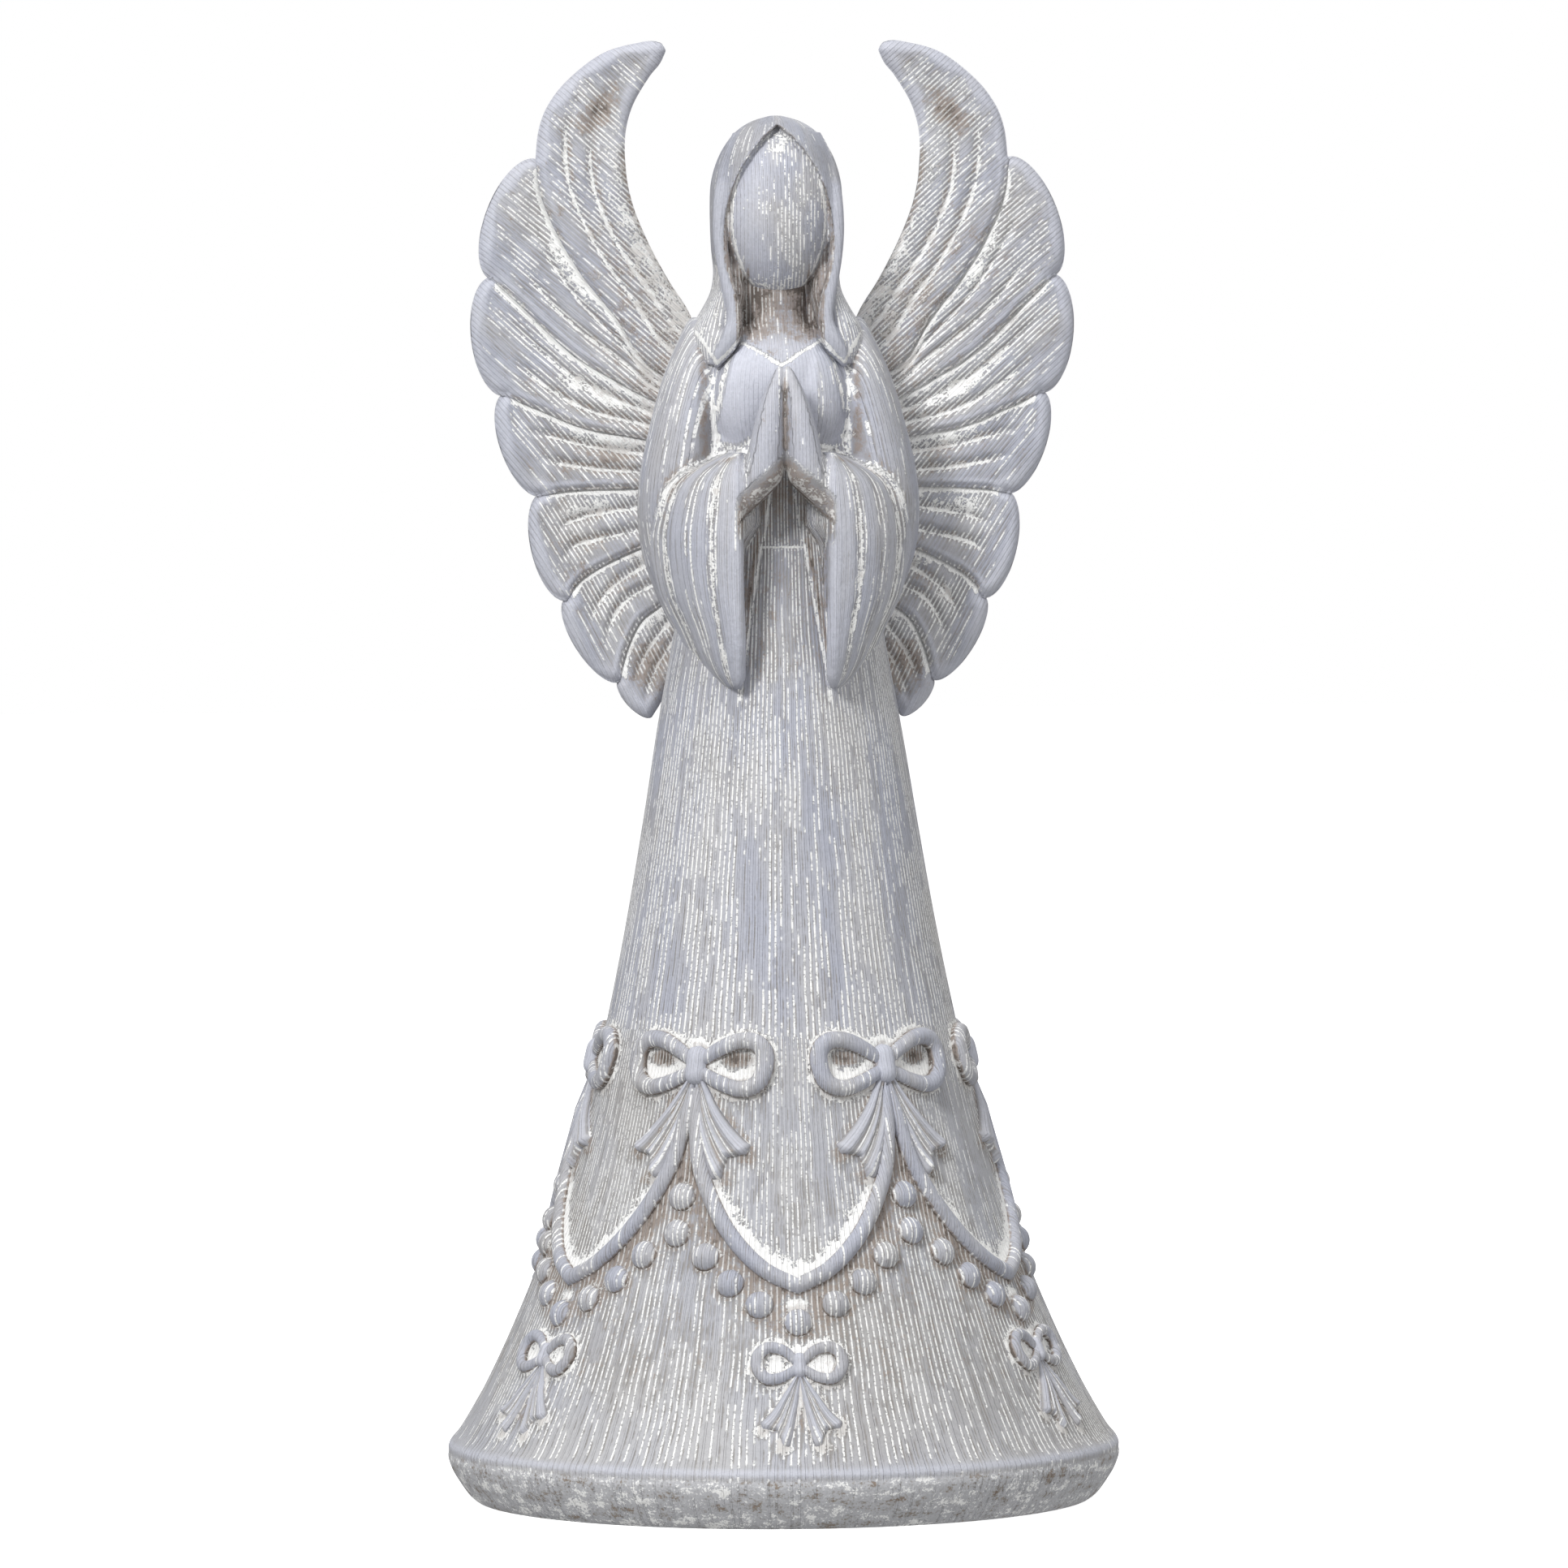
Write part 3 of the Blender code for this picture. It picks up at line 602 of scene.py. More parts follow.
def beside_ornaments(height, folded):
    """The lift, wash and brown of the dress round its ornaments: staining, with painted shade under the
    garlands and the bows and round the tails and the beads.
    """
    gaps = ornament_gaps(height, folded)
    fillet = np.where(gaps.min(0) < -2, 0.0, 1.2 * np.exp(-np.clip(gaps.min(0), 0, None) / 1.6))
    loop_gap, tail_gap, small_gap, swag_gap, bead_gap = np.clip(gaps, 0, None)
    bow_gap = np.minimum(loop_gap, small_gap)
    garland = smooth(GARLAND, 60)[::-1]
    below = np.interp(folded, garland[:, 0], garland[:, 1]) - height
    inside = ramp(below, 3, -3)
    swag = np.exp(-((swag_gap / np.interp(height, [150, 175, 215, 260], [19, 14, 9, 7])) ** 1.25))
    local = np.radians(folded) * radius_at(height)
    right = np.abs(local - np.radians(HALF_REPEAT) * radius_at(height))
    up, small = height - BOW_HEIGHT, height - SMALL_BOW_HEIGHT
    brown_eye = bell(right - 28, 12) * bell(up - 4.5, 6)
    white_eye = ramp(np.hypot((right - 26) / 23, (up + 0.5) / 12.5), 1.1, 0.8)
    above_knots = most(bell(right, 11) * bell(up - 14, 7), bell(local, 9) * bell(small - 9, 6))
    wash = most(
        0.98 * swag * ramp(height, 292, 276) * inside, 0.60 * np.exp(-bead_gap / 3),
        0.80 * np.exp(-((bow_gap / 5) ** 1.3)), 0.48 * np.exp(-tail_gap / 3), 0.9 * white_eye, above_knots,
        bell(local - 16, 9) * bell(small, 7), 0.9 * bell(local, 9) * bell(height - 147, 5),
    )
    field = band(below, 2, 9, 24, 52) * ramp(folded, 0.5, 5.0)
    gusset = ramp(below, 2, 8) * ramp(right, 16, 6) * band(height, 190, 215, 235, 262)
    # painted shade below the knots of the bows
    below_knots = most(ramp(up, -8, -15) * (up > -30), ramp(small, -6, -11) * (small < 30))
    # brown: staining, with painted shadow under the garlands, below the bows and round the tails, and partly
    # painted contact shade round the beads and the bows
    stain = most(
        0.95 * brown_eye, 0.60 * field, 0.70 * gusset, 0.62 * np.exp(-((bead_gap / 4.5) ** 1.5)),
        0.66 * np.exp(-tail_gap / 4), 0.85 * np.exp(-swag_gap / 4) * (1 - inside),
        0.60 * bell(local, 8) * bell(small + 34, 14), 0.45 * np.exp(-bow_gap / 2),
        0.74 * np.exp(-bow_gap / 3) * below_knots,
    )
    return fillet, wash * (1 - 0.92 * brown_eye), stain


def front_panel(height, angle):
    """The panel lines and the belt on the front, and brown painted shade between the sleeves."""
    x = np.abs(radius_at(height) * np.sin(angle))
    front = np.cos(angle) > 0.5
    panel = smooth(PANEL, 50)[::-1]
    edge = np.interp(height, panel[:, 1], panel[:, 0])
    bodice_edge = np.interp(height, [PANEL_TOP, 700], [13.0, 7.0])
    line = most(
        np.where(front & (height > PANEL_FOOT) & (height < PANEL_TOP), bell(x - edge, 1.15), 0),
        np.where(front & (x < 15), bell(height - BELT_LEVEL, 1.2), 0),
        np.where(front & (height > PANEL_TOP), bell(x - bodice_edge, 1.0), 0),
    )
    # brown painted shade between the sleeves, darker to the sides, beside the panel lines and higher up
    shaded = np.where(front, ramp(x, 40, 26), 0) * ramp(height, 530, 600)
    beside = np.where(front & (height > PANEL_FOOT), bell(x - edge - 3.0, 1.6), 0) * ramp(height, 662, 655)
    soil_and_shade = 0.24 + 0.12 * ramp(x, 12, 24) + 0.45 * beside + 0.16 * ramp(height, 655, 685)
    return line, shaded * soil_and_shade * (1 - line)


def add_dress(material):
    """The dress as a fine turned grid, with a soft fillet and the paint round each ornament."""
    heights = np.concatenate([np.linspace(*rows) for rows in DRESS_ROWS])
    rows, rim = len(heights), DRESS_COLUMNS
    turn = 2 * np.pi * np.arange(rim) / rim - np.pi
    height, angle = [grid.ravel() for grid in np.meshgrid(heights, turn, indexing="ij")]
    lift, wash, stain = np.zeros((3, len(height)))
    decked = (height > DECKED[0]) & (height < DECKED[1])
    folded = fold(np.degrees(angle[decked]))
    lift[decked], wash[decked], stain[decked] = beside_ornaments(height[decked], folded)
    line, shaded = front_panel(height, angle)
    lift -= 1.1 * line
    lift -= 6.0 * ramp(height, 640, 656) * ramp(np.cos(angle), 0.2, -0.1)
    lift += 0.35 * np.sin(5 * angle + 1.0) * band(height, 30, 90, 480, 560)
    lift -= 0.8 * bell(height - 33.5, 2.2)
    values = {
        "wash": most(wash, 0.86 * line),
        "stain": most(stain, shaded, 0.16 * band(height, 60, 110, 150, 300)),
        "bare": 0.70 * bell(height - 39, 4.5),
        "foot": ramp(height, 36, 32),
        "coarse": ramp(height, 345, 300),
    }
    values = {key: np.append(value, [0, 0]) for key, value in values.items()}
    points = np.vstack([on_dress(angle, height, lift), [[0, 0, 0], [0, 0, DRESS_TOP]]])
    points[:, 2] = np.clip(points[:, 2], 0, None)
    bottom, top, last = rows * rim, rows * rim + 1, (rows - 1) * rim
    faces = grid_faces(rows, rim).tolist()
    faces += [[bottom, (i + 1) % rim, i] for i in range(rim)]
    faces += [[top, last + i, last + (i + 1) % rim] for i in range(rim)]
    comb = np.stack([np.append(angle, [0, 0]) * DRESS_COMB, points[:, 2]], -1)
    piece = make_piece("dress", points, faces, values, comb, material)
    carry_comb_past_back(piece, rows)
    turn_faces_out(piece.data)


def carry_comb_past_back(piece, rows):
    """The comb direction goes on past the column where its angle starts again."""
    uv = piece.data.uv_layers["comb"].data
    flat = np.empty(2 * len(uv), np.float32)
    uv.foreach_get("uv", flat)
    corners = flat[:8 * (rows - 1) * DRESS_COLUMNS].reshape(rows - 1, DRESS_COLUMNS, 4, 2)
    corners[:, -1, 1:3, 0] += 2 * np.pi * DRESS_COMB * TH
    uv.foreach_set("uv", flat)


# Wings

def feather_plan(i, lines):
    """The middle line, the half chords and the open edges of one feather."""
    if i == 0:
        # every second row along the horn, and every row at its tip
        rows = np.concatenate([np.arange(2, HORN_ROWS - 6, 2), np.arange(HORN_ROWS - 6, HORN_ROWS)])
        top = np.vstack([lines[0], smooth(HORN_INNER, HORN_ROWS)[rows]])
        low = np.vstack([lines[1], smooth(HORN_OUTER, HORN_ROWS)[rows]])
        middle, half = (top + low) / 2, (top - low) / 2 * FEATHER_OVERLAP
        half[-len(HORN_TAPER):] *= np.array(HORN_TAPER)[:, None]
        horn = np.vstack([(middle + half)[FEATHER_ROWS:], (middle - half)[:FEATHER_ROWS - 1:-1]])
        return middle, half, [lines[0], horn]
    top, low = lines[i], lines[i + 1]
    turn = np.arange(1, FEATHER_ENDS + 1)[:, None] / (FEATHER_ENDS + 0.2) * np.pi / 2
    chord = top[-1] - low[-1]
    out = unit(np.array([chord[1], -chord[0]]))
    end_middle = (top[-1] + low[-1]) / 2 + out * FEATHER_BULGES[i - 1] * np.sin(turn)
    end_half = chord / 2 * np.cos(turn)
    exposed = [np.vstack([top[-1:], end_middle + end_half]), np.vstack([low[-1:], end_middle - end_half])]
    if i == 6:
        exposed.append(low)
    middle = np.vstack([(top + low) / 2, end_middle])
    return middle, np.vstack([(top - low) / 2, end_half]) * FEATHER_OVERLAP, exposed


def add_feather(batch, i, side, lines):
    """One feather: a rounded rim, two long grooves in front and a plain back."""
    middle, half, exposed = feather_plan(i, lines)
    count, columns = len(middle), FEATHER_COLUMNS
    shape = (count, columns)
    across = np.broadcast_to(np.linspace(-1, 1, columns), shape)
    flat = middle[:, None, :] + half[:, None, :] * across[..., None]
    spots = flat.reshape(-1, 2)
    x, z = flat[..., 0], flat[..., 1]
    rim = nearest(spots, np.vstack([dense(part) for part in exposed])).reshape(shape)
    upper = nearest(spots, dense(lines[i][:-1])).reshape(shape) if i else np.full(shape, 99.0)
    lower = nearest(spots, dense(lines[i + 1][:-1] if i else lines[1])).reshape(shape)
    seam = np.minimum(upper, lower)
    along = (np.clip(np.arange(count) / FEATHER_ROWS, 0, 1.4) if i else np.linspace(0, 1, count))[:, None]
    reach = np.linalg.norm(half, axis=1)[:, None]
    fade_out = ramp(along, 1.0, 0.62) if i else ramp(along, 0.84, 0.55)
    wide, thin = np.zeros((2, *shape))
    for place, waver in ((-0.34, 0.4), (0.28, 2.1)):
        at = place + 0.07 * np.sin(5 * along + waver + i) + 0.06 * (1 - along)
        gap = (across - at) * reach
        girth = np.minimum(3.0 + 1.4 * ramp(along, 1.0, 0.4), 0.34 * reach)
        wide = most(wide, bell(gap, girth) * fade_out)
        thin = most(thin, bell(gap + 0.8, (0.5 + 0.12 * np.sin(9 * along + 3 * waver)) * girth) * fade_out)

    crown = np.sqrt(np.clip(1 - (1 - np.clip(rim / FEATHER_RIM, 0, 1)) ** 2, 0, 1))
    inside = ramp(rim, 1, 7)
    dish = ramp(rim, 7, 14) * ramp(along, 0.5, 0.8)
    shingle = 3.0 * ramp(across, -0.5, 1.0) * ramp(along, 1.08, 0.75)
    cut_in = 3.0 * wide + 0.5 * dish + shingle + (2.4 * bell(lower, 2.0) + 1.6 * bell(upper, 2.4)) * inside
    depth = crown * (FEATHER_FRONT - cut_in + 0.35 * np.sin(0.21 * x + 0.13 * z + i))
    behind = FEATHER_BACK * crown * (1 - 0.25 * bell(seam, 3.0))
    plane = WING_MIDDLE + WING_SWEEP * x
    faces = [np.stack([side * x, y, z], -1) for y in (plane - depth, plane + behind)]

    root = ramp(along, 0.75, 0.1)
    flush = bell(across - 0.45 - 0.25 * np.sin(2.3 * i), 0.42)
    flush = flush * bell(along - 0.52 - 0.12 * np.sin(1.7 * i), 0.24)
    wash = most(
        0.78 * thin, (0.47 if i else 0.36) * wide, 0.5 * bell(lower, 1.6) * inside,
        0.9 * bell(upper - 2.0, 3.4) * inside * ramp(along, 1.06, 0.9),
        0.40 * root + 0.26 * ramp(across, 0.0, 0.9) * ramp(along, 1.0, 0.6),
        FLUSH_WHITES[i] * flush * ramp(along, 0.95, 0.6),
    )
    bare = most(
        0.68 * ramp(rim + 2.5 * np.sin(0.16 * x - 0.11 * z), 12, 5) * ramp(along, 0.3, 0.55),
        0.70 * bell(lower - 4.5, 3.0) * ramp(along, 0.15, 0.5) * inside, 0.15 * ramp(along, 0.7, 0.95),
        0.42 * (1 - np.minimum(1, 1.4 * wide)) * band(along, 0.0, 0.2, 0.5, 0.85),
    )
    stain = most(
        0.56 * wide * (1 - 0.5 * thin) * ramp(along, 0.98, 0.6), 0.46 * root,
        0.60 * bell(lower + 0.5, 1.6) * inside, 0.18 * ramp(rim, 6, 14),
    )
    if i == 0:
        from_x, from_z = x - HORN_PATCH[0], z - HORN_PATCH[1]
        lean, rise = from_x * 0.80 + from_z * 0.60, from_z * 0.80 - from_x * 0.60
        patch = bell(np.hypot(lean / 0.42, rise), 24)
        inner = nearest(spots, lines[0]).reshape(shape)
        stain = most(stain, 0.80 * patch, 0.6 * bell(inner, 3.5))
        wash = wash * (1 - 0.5 * patch)
        bare = bare * ramp(inner, 3, 12)
    if i == 6:
        stain = most(stain, 0.72 * bell(np.hypot(x - LOW_PATCH[0], z - LOW_PATCH[1]), 24))
    if i in (3, 5):
        stain = most(stain, 0.55 * bell(along - 0.42, 0.16) * bell(across - 0.25, 0.5))

    slant = math.radians(COMB_ANGLES[i])
    hatch = (z * math.cos(slant) - x * math.sin(slant)) * WING_COMB + 60 * i
    run = x * math.cos(slant) + z * math.sin(slant)

    def both(front, back):
        return np.concatenate([front, np.broadcast_to(back, front.shape)[:, ::-1]], 1)

    batch.add(
        both(*faces).reshape(-1, 3), grid_faces(count, 2 * columns), end_caps(count, 2 * columns),
        both(wash, 0.55 * bell(seam, 3.0)).ravel(), both(stain, 0.1).ravel(), both(bare, 0.25).ravel(),
        both(np.stack([hatch, run], -1), flat).reshape(-1, 2),
    )


def add_wing(side, material):
    """One wing of seven feathers."""
    batch = Batch()
    lines = [smooth(line, FEATHER_ROWS) for line in FEATHER_LINES]
    for i in range(7):
        add_feather(batch, i, side, lines)
    batch.build("wing_left" if side < 0 else "wing_right", material)


# Figure

SCRATCH = []


def scratch_object(name, data):
    made = link_object(name, data)
    SCRATCH.append(made)
    return made


def loft(name, rings):
    """A closed scratch solid through rings of points, capped at both ends."""
    rings = np.asarray(rings, float)
    rows, columns = rings.shape[:2]
    data = bpy.data.meshes.new(name)
    faces = grid_faces(rows, columns).tolist() + end_caps(rows, columns)
    data.from_pydata((rings.reshape(-1, 3) * TH).tolist(), [], faces)
    turn_faces_out(data)
    return scratch_object(name, data)


def level_loft(name, sections, side=1, sides=48, steps=70, power=1.0):
    """A scratch solid through level ellipses; a power below 1 squares them."""
    across, ahead = (np.sign(ring_section(sides)) * np.abs(ring_section(sides)) ** power).T
    return loft(name, [
        np.stack([side * (mx + hx * across), my + hy * ahead, np.full(sides, z)], -1)
        for z, mx, hx, my, hy in smooth(sections, steps)
    ])


def rod(name, rows, sides=20):
    """A round scratch rod through rows of x, y, height and radius."""
    rows = smooth(rows, 60)
    path, radii = rows[:, :3], rows[:, 3]
    tangent = unit(np.gradient(path, axis=0))
    first = unit(np.cross(tangent, [0, 1, 0.01]))
    second = np.cross(tangent, first)
    ring = ring_section(sides)
    return loft(name, path[:, None] + radii[:, None, None] * (
        first[:, None] * ring[None, :, :1] + second[:, None] * ring[None, :, 1:]
    ))


def ball(name, middle, reach):
    mesh = bmesh.new()
    bmesh.ops.create_uvsphere(mesh, u_segments=48, v_segments=32, radius=1)
    mesh.transform(Matrix.Translation(Vector(middle) * TH) @ Matrix.Diagonal((*(Vector(reach) * TH), 1)))
    data = bpy.data.meshes.new(name)
    mesh.to_mesh(data)
    mesh.free()
    return scratch_object(name, data)


SLEEVE_ROWS = smooth(SLEEVE, 90)


def sleeve(side):
    """A hanging sleeve with its long folds, rounded at its inner front edge."""
    rings = []
    share = np.linspace(0, 1, 72)
    for height, outer, front, inner in SLEEVE_ROWS:
        turn = share * np.pi / 2
        fade = min(1, (outer - SLEEVE_EDGE) / 26)
        fold_in = np.zeros(len(share))
        for place, width, deep in SLEEVE_GROOVES:
            fold_in += deep * bell(np.sin(turn) - place, width * 1.6) * fade
        fold_in -= 0.9 * fade * np.cos(2 * np.pi * 4.5 * share)
        x = SLEEVE_EDGE + (outer - SLEEVE_EDGE) * np.sin(turn) - fold_in * np.sin(turn)
        y = -12 + (front + 12) * np.cos(turn) ** 0.9 + fold_in * np.cos(turn)
        ring = np.stack([x, y], -1)
        tuck = max(0.0, 563 - height) * 0.7 - 1.6 * ramp(height, 640, 575)
        open_up = ramp(height, 670, 648)
        inner = inner + 0.62 * open_up * (SLEEVE_EDGE - inner)
        rest = [(0.85 * outer, 4), (0.6 * outer, 8), (inner, SLEEVE_BACK + 10), (inner, SLEEVE_BACK)]
        bend = 0.5 + 0.3 * open_up
        rest.append((inner + bend * (SLEEVE_EDGE - inner), 0.5 * (SLEEVE_BACK + front)))
        rest += [
            (SLEEVE_EDGE - 3.0 + tuck, front + 9), (SLEEVE_EDGE - 3.4 + tuck, front + 5),
            (SLEEVE_EDGE - 2.2 + tuck, front + 1.8),
        ]
        ring = np.vstack([ring, rest])
        rings.append(np.column_stack([side * ring[:, 0], ring[:, 1], np.full(len(ring), height)]))
    loft("sleeve", rings)


def head_forms():
    shell = level_loft("hood", HOOD, sides=96, steps=110, power=HOOD_SQUARENESS)
    opening = smooth(OPENING, 50)
    outline = np.vstack([opening, opening[:0:-1] * [-1, 1]])
    cutter = loft("opening", [
        np.column_stack([outline[:, 0], np.full(len(outline), y), outline[:, 1]])
        for y in (OPENING_BACK, OPENING_FRONT)
    ])
    cutter["cutter"] = True
    cut = shell.modifiers.new("opening", "BOOLEAN")
    cut.operation = "DIFFERENCE"
    cut.object = cutter
    ball("face", FACE_MIDDLE, FACE_REACH)
    ball("forehead", FOREHEAD_MIDDLE, FOREHEAD_REACH)
    level_loft("lining", LINING, power=LINING_SQUARENESS)
    for side in (-1, 1):
        rod("lock", [(side * x, y, z, r) for x, y, z, r in LOCK])
        level_loft("veil", VEIL, side)


def on_level(radius, turn, height):
    return np.stack([radius * np.sin(turn), -radius * np.cos(turn), 0 * turn + height], -1)


def body_forms():
    level_loft("neck", NECK)
    ball("chest", CHEST_MIDDLE, CHEST_REACH)
    ball("ribs", RIBS_MIDDLE, RIBS_REACH)
    level_loft("back", BACK, sides=80)
    heights = np.linspace(480, 755, 60)
    turn = 2 * np.pi * np.arange(96) / 96
    loft("core", [on_level(radius_at(z) - 1.2, turn, z) for z in heights])
    for side in (-1, 1):
        ball("breast", (side * BREAST_MIDDLE[0], *BREAST_MIDDLE[1:]), BREAST_REACH)
        level_loft("upper_arm", UPPER_ARM, side)
        sleeve(side)
        level_loft("hand", HAND, side)


def fused(forms, voxel):
    """Scratch forms fused on a fine grid, as points in thousandths and faces."""
    forms()
    bpy.context.view_layer.update()
    graph = bpy.context.evaluated_depsgraph_get()
    merged = bmesh.new()
    for form in SCRATCH:
        if not form.get("cutter"):
            data = bpy.data.meshes.new_from_object(form.evaluated_get(graph))
            merged.from_mesh(data)
            bpy.data.meshes.remove(data)
    data = bpy.data.meshes.new("figure_forms")
    merged.to_mesh(data)
    merged.free()
    for form in SCRATCH:
        bpy.data.objects.remove(form)
    SCRATCH.clear()
    whole = link_object("figure_forms", data)
    fuse = whole.modifiers.new("fuse", "REMESH")
    fuse.mode = "VOXEL"
    fuse.voxel_size = voxel * TH
    soften = whole.modifiers.new("soften", "SMOOTH")
    soften.factor = 0.5
    soften.iterations = 2
    bpy.context.view_layer.update()
    result = bpy.data.meshes.new_from_object(whole.evaluated_get(bpy.context.evaluated_depsgraph_get()))
    bpy.data.objects.remove(whole)
    points = np.empty(3 * len(result.vertices))
    result.vertices.foreach_get("co", points)
    corners = np.empty(len(result.loops), np.int64)
    result.loops.foreach_get("vertex_index", corners)
    bpy.data.meshes.remove(result)
    return points.reshape(-1, 3) / TH, corners.reshape(-1, 4)


def gathered(values, places, count):
    """The sum of the rows of values that go to each of count places."""
    return np.stack([np.bincount(places, column, count) for column in values.T], -1)


def point_normals(points, faces):
    a, b, c, d = [points[faces[:, k]] for k in range(4)]
    normal = np.cross(c - a, d - b)
    out = sum(gathered(normal, faces[:, corner], len(points)) for corner in range(4))
    return out / np.maximum(np.linalg.norm(out, axis=1), 1e-9)[:, None]


def hollow(points, faces, rounds):
    """How far each point lies in a hollow, at each number of smoothing rounds, in thousandths."""
    pairs = np.vstack([faces[:, [k, (k + 1) % 4]] for k in range(4)])
    here, there = np.vstack([pairs, pairs[:, ::-1]]).T
    counts = np.bincount(here, minlength=len(points)).astype(float)
    normals = point_normals(points, faces)
    current, done, depths = points, 0, []
    for target in rounds:
        while done < target:
            current = gathered(current[there], here, len(points)) / counts[:, None]
            done += 1
        depths.append(((current - points) * normals).sum(1))
    return depths, normals, current


def paths(points, lines):
    """Distance in x and height from each point to the nearest of some drawn lines, on both sides alike."""
    flat = np.stack([np.abs(points[:, 0]), points[:, 2]], -1)
    return nearest(flat, np.vstack([smooth(line, 14 * len(line)) for line in lines]))


class Paint:
    """Wash, brown staining with painted shade, and bare of a surface, by point; all three are changed zone by
    zone.
    """

    def __init__(self, wash, stain, bare):
        self.wash, self.stain, self.bare = wash, stain, bare

    def raise_to(self, **values):
        """Raises each named value to at least the one given."""
        for key, value in values.items():
            setattr(self, key, np.maximum(getattr(self, key), value))

    def put(self, zone, **values):
        """Puts new values in a zone and keeps the old ones outside it."""
        for key, value in values.items():
            setattr(self, key, np.where(zone, value, getattr(self, key)))


def sleeve_place(x, y, z):
    """How far across its sleeve each point lies, the sleeve's room there, and whether it is on a sleeve."""
    room = np.interp(z, SLEEVE_ROWS[::-1, 0], SLEEVE_ROWS[::-1, 1]) - SLEEVE_EDGE
    share = (np.abs(x) - SLEEVE_EDGE) / np.maximum(room, 1)
    on_sleeve = (z > 554) & (z < 718) & (np.abs(x) > SLEEVE_EDGE - 4.5) & (share < 1.02) & (y < -30)
    return share, room, on_sleeve


def add_figure(name, forms, voxel, painter, material):
    """The head or the body: its fused form, then its paint by drawn lines and by how hollow it is."""
    points, faces = fused(forms, voxel)
    rounds = [round(count * (FIGURE_VOXEL / voxel) ** 2) for count in (3, 14, 60)]
    (fine, broad, deep), normals, softened = hollow(points, faces, rounds)
    x, y, z = points.T
    front = ramp(-normals[:, 1], 0.0, 0.35)
    share, _, on_sleeve = sleeve_place(x, y, z)
    wash = most(1.2 * ramp(fine, 0.12, 0.45), 0.75 * ramp(broad, 0.6, 1.9))
    paint = Paint(wash, 0.60 * ramp(deep, 2.4, 6.5), np.full(len(x), 0.30))
    cut_in, hood_shade, plain = painter(paint, points, front)
    if forms == body_forms:
        paint.raise_to(wash=0.12 * ramp(normals[:, 1], 0.1, 0.5))
        settle = band(z, 783, 790, 808, 822) * ramp(np.abs(x), 26, 18) * ramp(-y, 18, 26)
        points = points + settle[:, None] * (softened - points)
    points = points - cut_in[:, None] * normals
    comb_round = np.arctan2(x, -(y - 10)) * FIGURE_COMB_REACH
    comb_sleeve = np.sign(x) * (SLEEVE_EDGE + share * SLEEVE_COMB_REACH)
    comb_plain = PLAIN_COMB * np.where((np.abs(normals[:, 0]) > 0.75) & (plain < 2), y, x)
    comb = np.where(on_sleeve, comb_sleeve, np.where(plain > 0, comb_plain, comb_round)) * FIGURE_COMB
    comb = np.stack([np.where(plain == BLANK, 0.0, comb), z * (1 + np.abs(plain))], -1)
    wash = paint.wash * (1 - 0.35 * paint.stain)
    values = {"wash": wash, "stain": paint.stain, "bare": paint.bare, "hood_shade": hood_shade}
    make_piece(name, points, faces.tolist(), values, comb, material)


